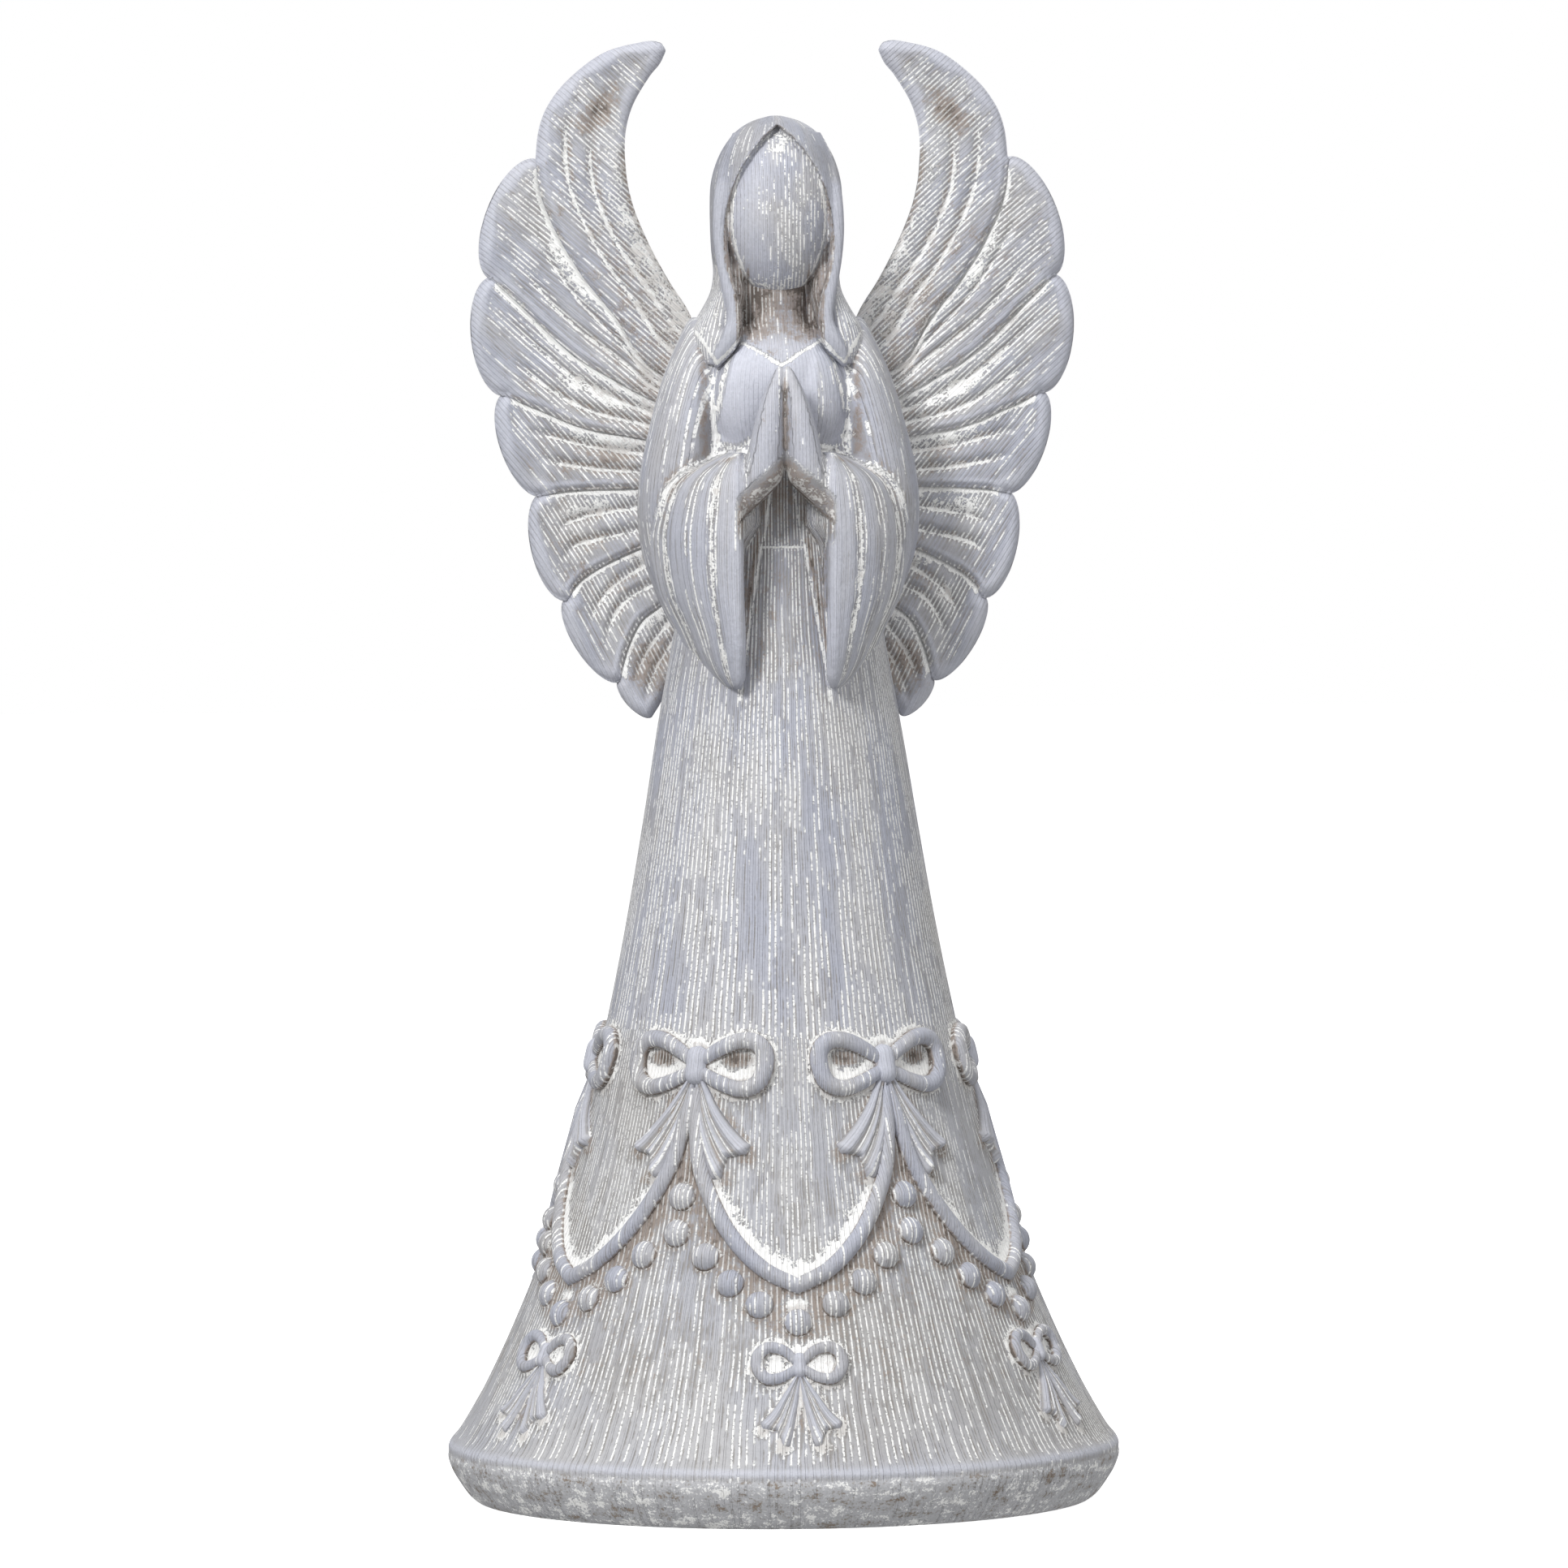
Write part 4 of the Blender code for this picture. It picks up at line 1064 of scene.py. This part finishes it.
def paint_head(paint, points, front):
    """A dark line round the opening, a white edge round the face and a brown recess between them."""
    x, y, z = points.T
    side_x = np.abs(x)
    head = ramp(z, 800, 812) * front
    ring = paths(points, [OPENING])
    opening = smooth(OPENING, 80)[::-1]
    sides = np.interp(z, opening[:, 1], opening[:, 0])
    chin = FACE_OUTLINE * np.sqrt(np.clip(1 - ((z - FACE_MIDDLE[2]) / FACE_REACH[2]) ** 2, 0, 1))
    chin = np.where(z > 905, np.minimum(sides, np.maximum(chin, sides - 2)), chin)
    face = ramp(side_x - np.minimum(chin, sides), 1.0, -0.5) * head * band(z, 820, 825, 938, 944)
    trench = ramp(side_x - chin, 0.5, 2.0) * ramp(sides - side_x, -1.5, 0.5) * ramp(z, 915, 890) * head
    low_trench = ramp(side_x, 18, 21) * ramp(sides - side_x, -3.5, 0) * front
    trench = np.where(z < 824, low_trench, trench)
    lock_rows = np.array(LOCK)[::-1]
    lock_x = np.interp(z, lock_rows[:, 2], lock_rows[:, 0])
    lock = ramp(np.abs(side_x - lock_x - 0.5), 6.0, 4.0) * ramp(-y, 24, 30) * band(z, 772, 780, 890, 915)
    lock *= 1 - 0.8 * trench
    hood = ramp(z, 838, 856) * ramp(side_x - sides, 1, 4) * (1 - lock)
    veil = band(z, 772, 782, 836, 856) * ramp(side_x - lock_x, 5, 8) * ramp(-y, -10, 4)
    jaw = ramp(z, 846, 829) * face * (0.55 + 0.45 * ramp(side_x, 22, 8))

    apex = 0.66 * bell(np.hypot(x / 1.2, z - 928), 12.0)
    mantle_edge = bell(paths(points, MANTLE_LINES), 1.6) * front * ramp(-y, 10, 20)
    paint.wash = most(
        0.30 * paint.wash, head * 0.80 * bell(side_x - chin, 1.4) * band(z, 823, 832, 932, 938), face * apex,
        0.36 * trench, 0.46 * jaw, 0.04 * face, 0.34 * veil, 0.95 * mantle_edge,
    )
    paint.put(trench <= 0.3, stain=0.15 * paint.stain)
    paint.raise_to(stain=most(
        0.52 * trench + 0.2 * trench * ramp(z, 850, 830),
        head * 0.95 * bell(ring + 0.3, 1.0) * ramp(z, 836, 850),
        front * 0.8 * bell(side_x - 21, 1.5) * ramp(z, 850, 835) * ramp(side_x, 18, 19.5),
        0.6 * bell(x, 0.8) * ramp(z, 936, 940) * ramp(-y, -4, 4),
    ))
    paint.put(lock > 0.5, stain=0.2 * paint.stain)
    paint.put(face > 0.5, bare=0.62 - 0.34 * ramp(x, -20, 6))
    paint.put(trench > 0.3, bare=0.45)
    paint.raise_to(bare=most(0.95 * lock, (0.52 - 0.2 * ramp(z, 900, 930)) * hood))
    paint.bare = paint.bare * (1 - 0.9 * veil)
    cut_in = 0.5 * bell(ring, 1.0) * head * ramp(z, 860, 880)
    # painted shade: the lock and the hood are darkened, less towards the hood's top
    hood_shade = most(lock, hood * (1 - 0.45 * ramp(z, 915, 935)))
    plain = np.where(face > 0.3, 2.5, np.where(trench > 0.3, 1.8, -1.5 * (hood > 0.3)))
    return cut_in, hood_shade, plain


def paint_body(paint, points, front):
    """The neck, the bust, the mantle, the sleeves and the hands, in that order."""
    x, y, z = points.T
    neck = paint_neck(paint, x, y, z)
    cut_in = paint_bust(paint, points, front)
    paint_sleeves(paint, points, front)
    wrist, heel, under, hands = paint_hands(paint, x, y, z)
    hidden = paint_inside(paint, x, y, z, under)
    plain = np.where(neck > 0.3, 2.2, np.where((wrist > 0.3) | (hidden > 0.3) | (hands > 0.3), 0.5, 0.0))
    return cut_in, np.zeros(len(x)), np.where(heel > 0.25, BLANK, plain)


def neckline(x):
    return np.interp(np.abs(x), [0, 13, 26.5], [775.0, 783.4, 791])


def paint_neck(paint, x, y, z):
    """A brown throat, with painted shadow under the chin, that clears towards the neckline."""
    side_x = np.abs(x)
    neck = ramp(z - neckline(x), 1, 4) * ramp(z, 840, 832) * ramp(side_x, 34, 27) * ramp(-y, 12, 18)
    # brown throat, darkened up under the chin as painted shadow
    throat = ramp(z, 786, 804) * (0.36 + 0.26 * ramp(side_x, 7, 16) + 0.22 * ramp(z, 812, 826))
    paint.put(
        neck > 0.3, wash=0.20 * ramp(z, 786, 806), stain=neck * (0.14 + 1.08 * throat),
        bare=0.42 + 0.3 * ramp(z, 806, 786),
    )
    paint.raise_to(stain=neck * 0.95 * bell(side_x - 20.5, 1.3) * ramp(z, 788, 796))
    return neck


def paint_bust(paint, points, front):
    """White lines along the mantle and the neckline, and a smooth blue bust inside its edge."""
    x, y, z = points.T
    side_x = np.abs(x)
    above = neckline(x)
    edges, line_gap = paths(points, MANTLE_LINES), paths(points, [NECK_EDGE])
    skin = (side_x < 28) & (z > 770) & (z < 800) & (y < -25)
    paint.raise_to(wash=0.95 * bell(edges, 1.5) * front * ramp(-y, 15, 25))
    paint.raise_to(wash=np.where(skin | (line_gap < 4), 0.92 * bell(line_gap, 1.5), 0) * front)
    paint.put(skin & (z > above + 3), wash=np.minimum(paint.wash, 0.3))
    bust_gap = paths(points, [BUST_EDGE])
    bust_edge = np.interp(z, [720, 733, 746, 759, 776, 787], [42, 46, 43.7, 41, 37, 32.5])
    in_bust = (z > 720) & (z < above) & (side_x < bust_edge) & (y < -40) & (y > -75)
    by_bust = front * band(-y, 32, 40, 70, 76)
    paint.raise_to(wash=0.72 * bell(bust_gap, 2.0) * by_bust, bare=0.95 * in_bust * ramp(bust_gap, 2, 4))
    paint.put(in_bust & (x > 24), bare=np.minimum(paint.bare, 0.55))
    paint.put(in_bust, stain=0.15 * paint.stain)
    paint.put(in_bust & (bust_gap > 3) & (line_gap > 3), wash=0.15 * paint.wash)
    lane = band(side_x, 42, 46, 55, 60) * band(z, 704, 716, 784, 796) * front
    paint.put(lane > 0.3, stain=0.5 * paint.stain, wash=0.72 * np.minimum(paint.wash, 1))
    paint.raise_to(stain=0.52 * bell(side_x - 52.0, 4.0) * lane, wash=0.50 * bell(side_x - 47.5, 4.0) * lane)
    return 0.8 * bell(edges, 1.2) * front + 0.9 * bell(bust_gap, 1.4) * by_bust


def paint_sleeves(paint, points, front):
    """White runs in the folds, a plain inner band and a white line along the top."""
    x, y, z = points.T
    share, room, on_sleeve = sleeve_place(x, y, z)
    mantle = ramp(np.abs(x), 54, 60) * ramp(z, 812, 800) * (1 - on_sleeve)
    paint.put(mantle > 0.3, bare=0.24)
    folds = most(*(deep / 3.2 * bell(share - place, width * 1.2) for place, width, deep in SLEEVE_GROOVES))
    folds = folds * ramp(room, 6, 26) * ramp(z, 714, 694)
    near_folds = ramp(share, 0.18, 0.28) * (0.5 + 0.5 * np.sin(2 * np.pi * (share - 0.34) / 0.27 + np.pi / 2))
    plain_band = 0.66 * band(share, -0.1, -0.02, 0.10, 0.2)
    paint.put(
        on_sleeve, wash=most(0.5 * paint.wash, 0.78 * folds), stain=most(0.4 * paint.stain, 0.30 * folds),
        bare=most(0.56 - 0.46 * near_folds, plain_band),
    )
    top_gap = paths(points, [SLEEVE_TOP])
    ahead = front * ramp(-y, 40, 60)
    paint.raise_to(wash=0.9 * bell(top_gap - 1, 2.2) * ahead, stain=0.42 * bell(top_gap - 3, 3.5) * ahead)


def paint_hands(paint, x, y, z):
    """Plain hands, a dark and white line between them, and a line across each wrist."""
    side_x = np.abs(x)
    hands = ramp(z, 690, 700) * ramp(-y, 66, 72) * ramp(side_x, 28, 22) * ramp(z, 779, 776)
    middle = ramp(z, 700, 706) * ramp(-y, 66, 74)
    paint.put(hands > 0.5, wash=np.minimum(paint.wash, 0.2))
    paint.raise_to(
        bare=0.58 * hands, wash=0.50 * bell(x, 1.2) * middle * ramp(z, 776, 770),
        stain=0.72 * bell(x, 2.4) * middle * ramp(z, 776, 760),
    )
    wrist = band(z, 652, 662, 708, 722) * ramp(side_x, 35, 31) * ramp(-y, 58, 68)
    edge = z - (699 - 0.92 * side_x)
    heel = wrist * band(edge, -2, 1, 8, 22)
    under = wrist * ramp(edge, 0, -3)
    paint.put(wrist > 0.3, stain=0.4 * paint.stain)
    paint.put(wrist > 0.4, wash=np.minimum(paint.wash, 0.3))
    # brown under the wrists, partly staining and partly painted shade under the hands
    paint.raise_to(
        stain=most(0.58 * heel + 0.40 * under, wrist * 0.9 * bell(edge + 0.5, 1.5)),
        wash=0.64 * heel + 0.30 * under,
    )
    paint.bare = most(paint.bare * (1 - most(under, heel)), 0.4 * heel)
    return wrist, heel, under, hands


def paint_inside(paint, x, y, z, under):
    """The shaded insides of the sleeves."""
    hidden = band(z, 562, 584, 680, 700) * band(-y, 20, 40, 82, 92)
    hidden *= ramp(SLEEVE_EDGE - 1 - np.abs(x), 0.5, 2.5)
    paint.stain = most(paint.stain * (1 - 0.5 * hidden), 0.42 * hidden * (1 - under))
    paint.put((hidden > 0.2) & (under < 0.2), wash=most(0.5 * paint.wash, 0.30))
    paint.bare = paint.bare * (1 - 0.9 * hidden)
    return hidden


# Material

class Value:
    """A number or a colour inside a material; sums and products of them are nodes."""

    def __init__(self, graph, socket):
        self.graph, self.socket = graph, socket

    def __add__(self, other):
        return self.graph.math("ADD", self, other)

    def __sub__(self, other):
        return self.graph.math("SUBTRACT", self, other)

    def __rsub__(self, other):
        return self.graph.math("SUBTRACT", other, self)

    def __mul__(self, other):
        return self.graph.math("MULTIPLY", self, other)

    def __truediv__(self, other):
        return self.graph.math("DIVIDE", self, other)


class Graph:
    """Short ways to add shader nodes."""

    def __init__(self, material):
        self.tree = material.node_tree
        self.tree.nodes.clear()

    def node(self, kind, **settings):
        made = self.tree.nodes.new(kind)
        for key, value in settings.items():
            setattr(made, key, value)
        return made

    def wire(self, source, target):
        if isinstance(source, Value):
            self.tree.links.new(source.socket, target)
        else:
            target.default_value = source

    def math(self, operation, a, b=0.0):
        made = self.node("ShaderNodeMath", operation=operation)
        self.wire(a, made.inputs[0])
        self.wire(b, made.inputs[1])
        return Value(self, made.outputs[0])

    def step(self, value, low, high):
        made = self.node("ShaderNodeMapRange", interpolation_type="SMOOTHSTEP")
        self.wire(value, made.inputs["Value"])
        self.wire(low, made.inputs["From Min"])
        self.wire(high, made.inputs["From Max"])
        return Value(self, made.outputs["Result"])

    def mix(self, share, a, b):
        """A mix of two colours; its sockets for them are the seventh and the eighth."""
        made = self.node("ShaderNodeMix", data_type="RGBA")
        for source, place in ((share, 0), (a, 6), (b, 7)):
            self.wire((*source, 1) if isinstance(source, tuple) else source, made.inputs[place])
        return Value(self, made.outputs[2])

    def noise(self, vector, scale, detail=2.0, rough=0.5):
        made = self.node("ShaderNodeTexNoise")
        self.wire(vector, made.inputs["Vector"])
        self.wire(scale, made.inputs["Scale"])
        self.wire(detail, made.inputs["Detail"])
        self.wire(rough, made.inputs["Roughness"])
        return Value(self, made.outputs["Fac"])

    def point_value(self, name):
        return Value(self, self.node("ShaderNodeAttribute", attribute_name=name).outputs["Fac"])

    def join(self, x, y):
        made = self.node("ShaderNodeCombineXYZ")
        self.wire(x, made.inputs[0])
        self.wire(y, made.inputs[1])
        return Value(self, made.outputs[0])

    def split_comb(self):
        """Across the comb lines and along them."""
        made = self.node("ShaderNodeSeparateXYZ")
        self.tree.links.new(self.node("ShaderNodeUVMap", uv_map="comb").outputs["UV"], made.inputs[0])
        return Value(self, made.outputs[0]), Value(self, made.outputs[1])


def stone_material():
    """Painted cast stone: grey blue, broken white comb lines, white wash, and brown staining in its hollows;
    the brown also paints shade under and round some forms.
    """
    material = bpy.data.materials.new("washed_stone")
    material.use_nodes = True
    g = Graph(material)
    place = Value(g, g.node("ShaderNodeTexCoord").outputs["Object"])
    u, v = g.split_comb()
    wash, stain, bare = g.point_value("wash"), g.point_value("stain"), g.point_value("bare")
    foot, coarse = g.point_value("foot"), g.point_value("coarse")
    grain = g.noise(place, 1000.0, 3.0, 0.7)
    patch = g.noise(g.join(u * 42.0, v * 13.0), 1.0)
    cloud = g.noise(place, 11.0)
    cloud_off = cloud - 0.5
    grain_off = grain - 0.5
    speck_off = g.noise(place, 360.0, 2.0, 0.6) - 0.5
    blotch_off = g.noise(place, 130.0, 2.0, 0.6) - 0.5

    # the comb lines: more of them round the low dress, each filled with white in broken runs
    density = g.math("GREATER_THAN", coarse + cloud_off * 2.5, 0.5) * (LOW_COMB - 1) + 1.0
    wobble = (g.noise(place, 34.0, 1.0) - 0.5) * 0.0016
    count = (u * density + wobble) / COMB_PITCH
    signed = g.math("FRACT", count) - 0.5
    offset = g.math("ABSOLUTE", signed) + grain_off * 0.14 + coarse * 0.03
    line = g.step(offset, 0.224, 0.138)
    own = g.math("FLOOR", count) * 7.31
    streak = g.noise(g.join(own, v * 15.0), 1.0, 5.0, 0.68)
    soil_run = g.noise(g.join(own + 31.7, v * 55.0), 1.0, 3.0, 0.7)
    amount = streak + (patch - 0.5) * 0.28 + cloud_off * 0.30 + wash * 0.30 - bare * 0.26 - coarse * 0.02
    broken = 1.0 - g.step(grain, 0.47, 0.37) * 0.85
    white_line = line * g.step(amount, 0.455, 0.480) * broken

    # wash, and brown staining with painted shade, with ragged edges
    ragged = grain_off * 0.9 + speck_off * 0.8 + blotch_off * 0.8
    area = g.step(wash + ragged + (streak - 0.5) * 0.5, 0.50, 0.60)
    white = g.math("MAXIMUM", white_line, area)
    soil_and_shade = stain + ragged + cloud_off * 0.4 + (soil_run - 0.5) * 0.7
    brown = g.step(soil_and_shade, 0.30, 0.60)
    deep = g.step(soil_and_shade, 0.66, 0.92)

    field = g.mix(g.step(patch, 0.36, 0.66), GREY_BLUE, GREY_PALE)
    field = g.mix(coarse * 0.4, field, GREY_PLAIN)
    field = g.mix(g.step(cloud, 0.50, 0.66) * (1.0 - bare) * 0.55, field, GREY_WARM)
    field = g.mix(g.step(bare, 0.25, 0.95), field, SMOOTH_BLUE)
    aside = g.math("ABSOLUTE", signed - 0.27) + grain_off * 0.14
    dark_run = g.step(aside, 0.15, 0.06) * g.step(soil_run, 0.47, 0.58) * (1.0 - bare * 0.95)
    dark_ridge = g.step(offset, 0.24, 0.36) * g.step(soil_run + stain, 0.58, 0.72) * (1.0 - bare)
    field = g.mix(g.math("MAXIMUM", dark_run, dark_ridge * 0.85) * 0.74, field, STAIN_TAUPE)
    colour = g.mix(brown * 0.72, field, BROWN_STAIN_AND_SHADE)
    colour = g.mix(deep * 0.72, colour, DARK_STAIN_AND_SHADE)
    colour = g.mix(white * (1.0 - brown * 0.45), colour, WASH_WHITE)

    blot = g.noise(g.join(u * 70.0, v * 150.0), 1.0, 4.0, 0.65) + g.noise(place, 150.0, 4.0, 0.7)
    blot = blot * 0.5 + grain_off * 0.35
    foot_colour = g.mix(g.step(blot, 0.37, 0.43), BROWN_STAIN_AND_SHADE, GREY_WARM)
    foot_colour = g.mix(g.step(blot, 0.41, 0.47), foot_colour, GREY_FOOT)
    foot_colour = g.mix(g.step(blot, 0.535, 0.575), foot_colour, WASH_WHITE)
    tone = g.node("ShaderNodeVectorMath", operation="SCALE")
    g.wire(g.mix(foot, colour, foot_colour), tone.inputs[0])
    # darkened where the head has painted hood shade
    g.wire(grain_off * 0.28 + speck_off * 0.22 + 1.0 - g.point_value("hood_shade") * 0.22, tone.inputs["Scale"])

    groove = line * (1.0 - foot) * (1.0 - bare * 0.8)
    bump = g.node("ShaderNodeBump")
    g.wire(0.8, bump.inputs["Strength"])
    g.wire(0.0007, bump.inputs["Distance"])
    g.wire(ragged * 0.5 - groove + white * 0.6, bump.inputs["Height"])
    shader = g.node("ShaderNodeBsdfPrincipled")
    g.wire(Value(g, tone.outputs[0]), shader.inputs["Base Color"])
    g.wire(white * 0.3 + 0.62, shader.inputs["Roughness"])
    g.wire(0.35, shader.inputs["Specular IOR Level"])
    g.wire(Value(g, bump.outputs[0]), shader.inputs["Normal"])
    output = g.node("ShaderNodeOutputMaterial")
    g.wire(Value(g, shader.outputs[0]), output.inputs[0])
    return material


# Stage

def floor_material():
    material = bpy.data.materials.new("pale_floor")
    material.use_nodes = True
    shader = material.node_tree.nodes["Principled BSDF"]
    shader.inputs["Base Color"].default_value = (0.82, 0.82, 0.82, 1)
    shader.inputs["Roughness"].default_value = 0.9
    shader.inputs["Specular IOR Level"].default_value = 0.1
    shader.inputs["Emission Color"].default_value = (1, 1, 1, 1)
    shader.inputs["Emission Strength"].default_value = FLOOR_GLOW
    return material


def add_floor():
    data = bpy.data.meshes.new("floor")
    corners = [(x * FLOOR_REACH, y * FLOOR_REACH, 0) for x, y in ((-1, -1), (1, -1), (1, 1), (-1, 1))]
    data.from_pydata(corners, [], [(0, 1, 2, 3)])
    data.materials.append(floor_material())
    floor = link_object("floor", data)
    floor.visible_diffuse = False
    floor.visible_glossy = False


def add_world():
    """White behind the statue, and a softer white light on it."""
    world = bpy.data.worlds.new("studio")
    world.use_nodes = True
    tree = world.node_tree
    tree.nodes.clear()
    seen, lit = [tree.nodes.new("ShaderNodeBackground") for _ in range(2)]
    for sky, strength in ((seen, 1.0), (lit, WORLD_LIGHT)):
        sky.inputs["Color"].default_value = (1, 1, 1, 1)
        sky.inputs["Strength"].default_value = strength
    choose = tree.nodes.new("ShaderNodeMixShader")
    tree.links.new(tree.nodes.new("ShaderNodeLightPath").outputs["Is Camera Ray"], choose.inputs[0])
    tree.links.new(lit.outputs[0], choose.inputs[1])
    tree.links.new(seen.outputs[0], choose.inputs[2])
    tree.links.new(choose.outputs[0], tree.nodes.new("ShaderNodeOutputWorld").inputs[0])
    bpy.context.scene.world = world


def add_lights():
    for name, place, size, power in LIGHTS:
        light = bpy.data.lights.new(name, "AREA")
        light.shape = "DISK"
        light.size = size
        light.energy = power
        made = link_object(name, light)
        made.location = place
        made.rotation_euler = (Vector(LIGHT_AIM) - Vector(place)).to_track_quat("-Z", "Y").to_euler()


def add_camera():
    height = 1000 * TH
    azimuth = math.radians(CAMERA_AZIMUTH)
    distance = CAMERA_DISTANCE * height
    place = Vector((math.sin(azimuth) * distance, -math.cos(azimuth) * distance, CAMERA_LEVEL * height))
    aim = Vector((0, 0, CAMERA_AIM * height))
    camera = bpy.data.cameras.new("camera")
    camera.sensor_width = CAMERA_SENSOR
    camera.lens = CAMERA_LENS
    camera.shift_x = CAMERA_SHIFT
    made = link_object("camera", camera)
    turned = (aim - place).to_track_quat("-Z", "Y").to_matrix().to_4x4()
    roll = Matrix.Rotation(math.radians(CAMERA_ROLL), 4, "Z")
    made.matrix_world = Matrix.Translation(place) @ turned @ roll
    bpy.context.scene.camera = made


add_camera()
add_floor()
add_world()
add_lights()
bpy.context.scene.view_settings.view_transform = "Standard"
stone = stone_material()
add_dress(stone)
add_ornaments(stone)
add_wing(-1, stone)
add_wing(1, stone)
add_figure("head", head_forms, HEAD_VOXEL, paint_head, stone)
add_figure("figure", body_forms, FIGURE_VOXEL, paint_body, stone)
bpy.context.view_layer.update()
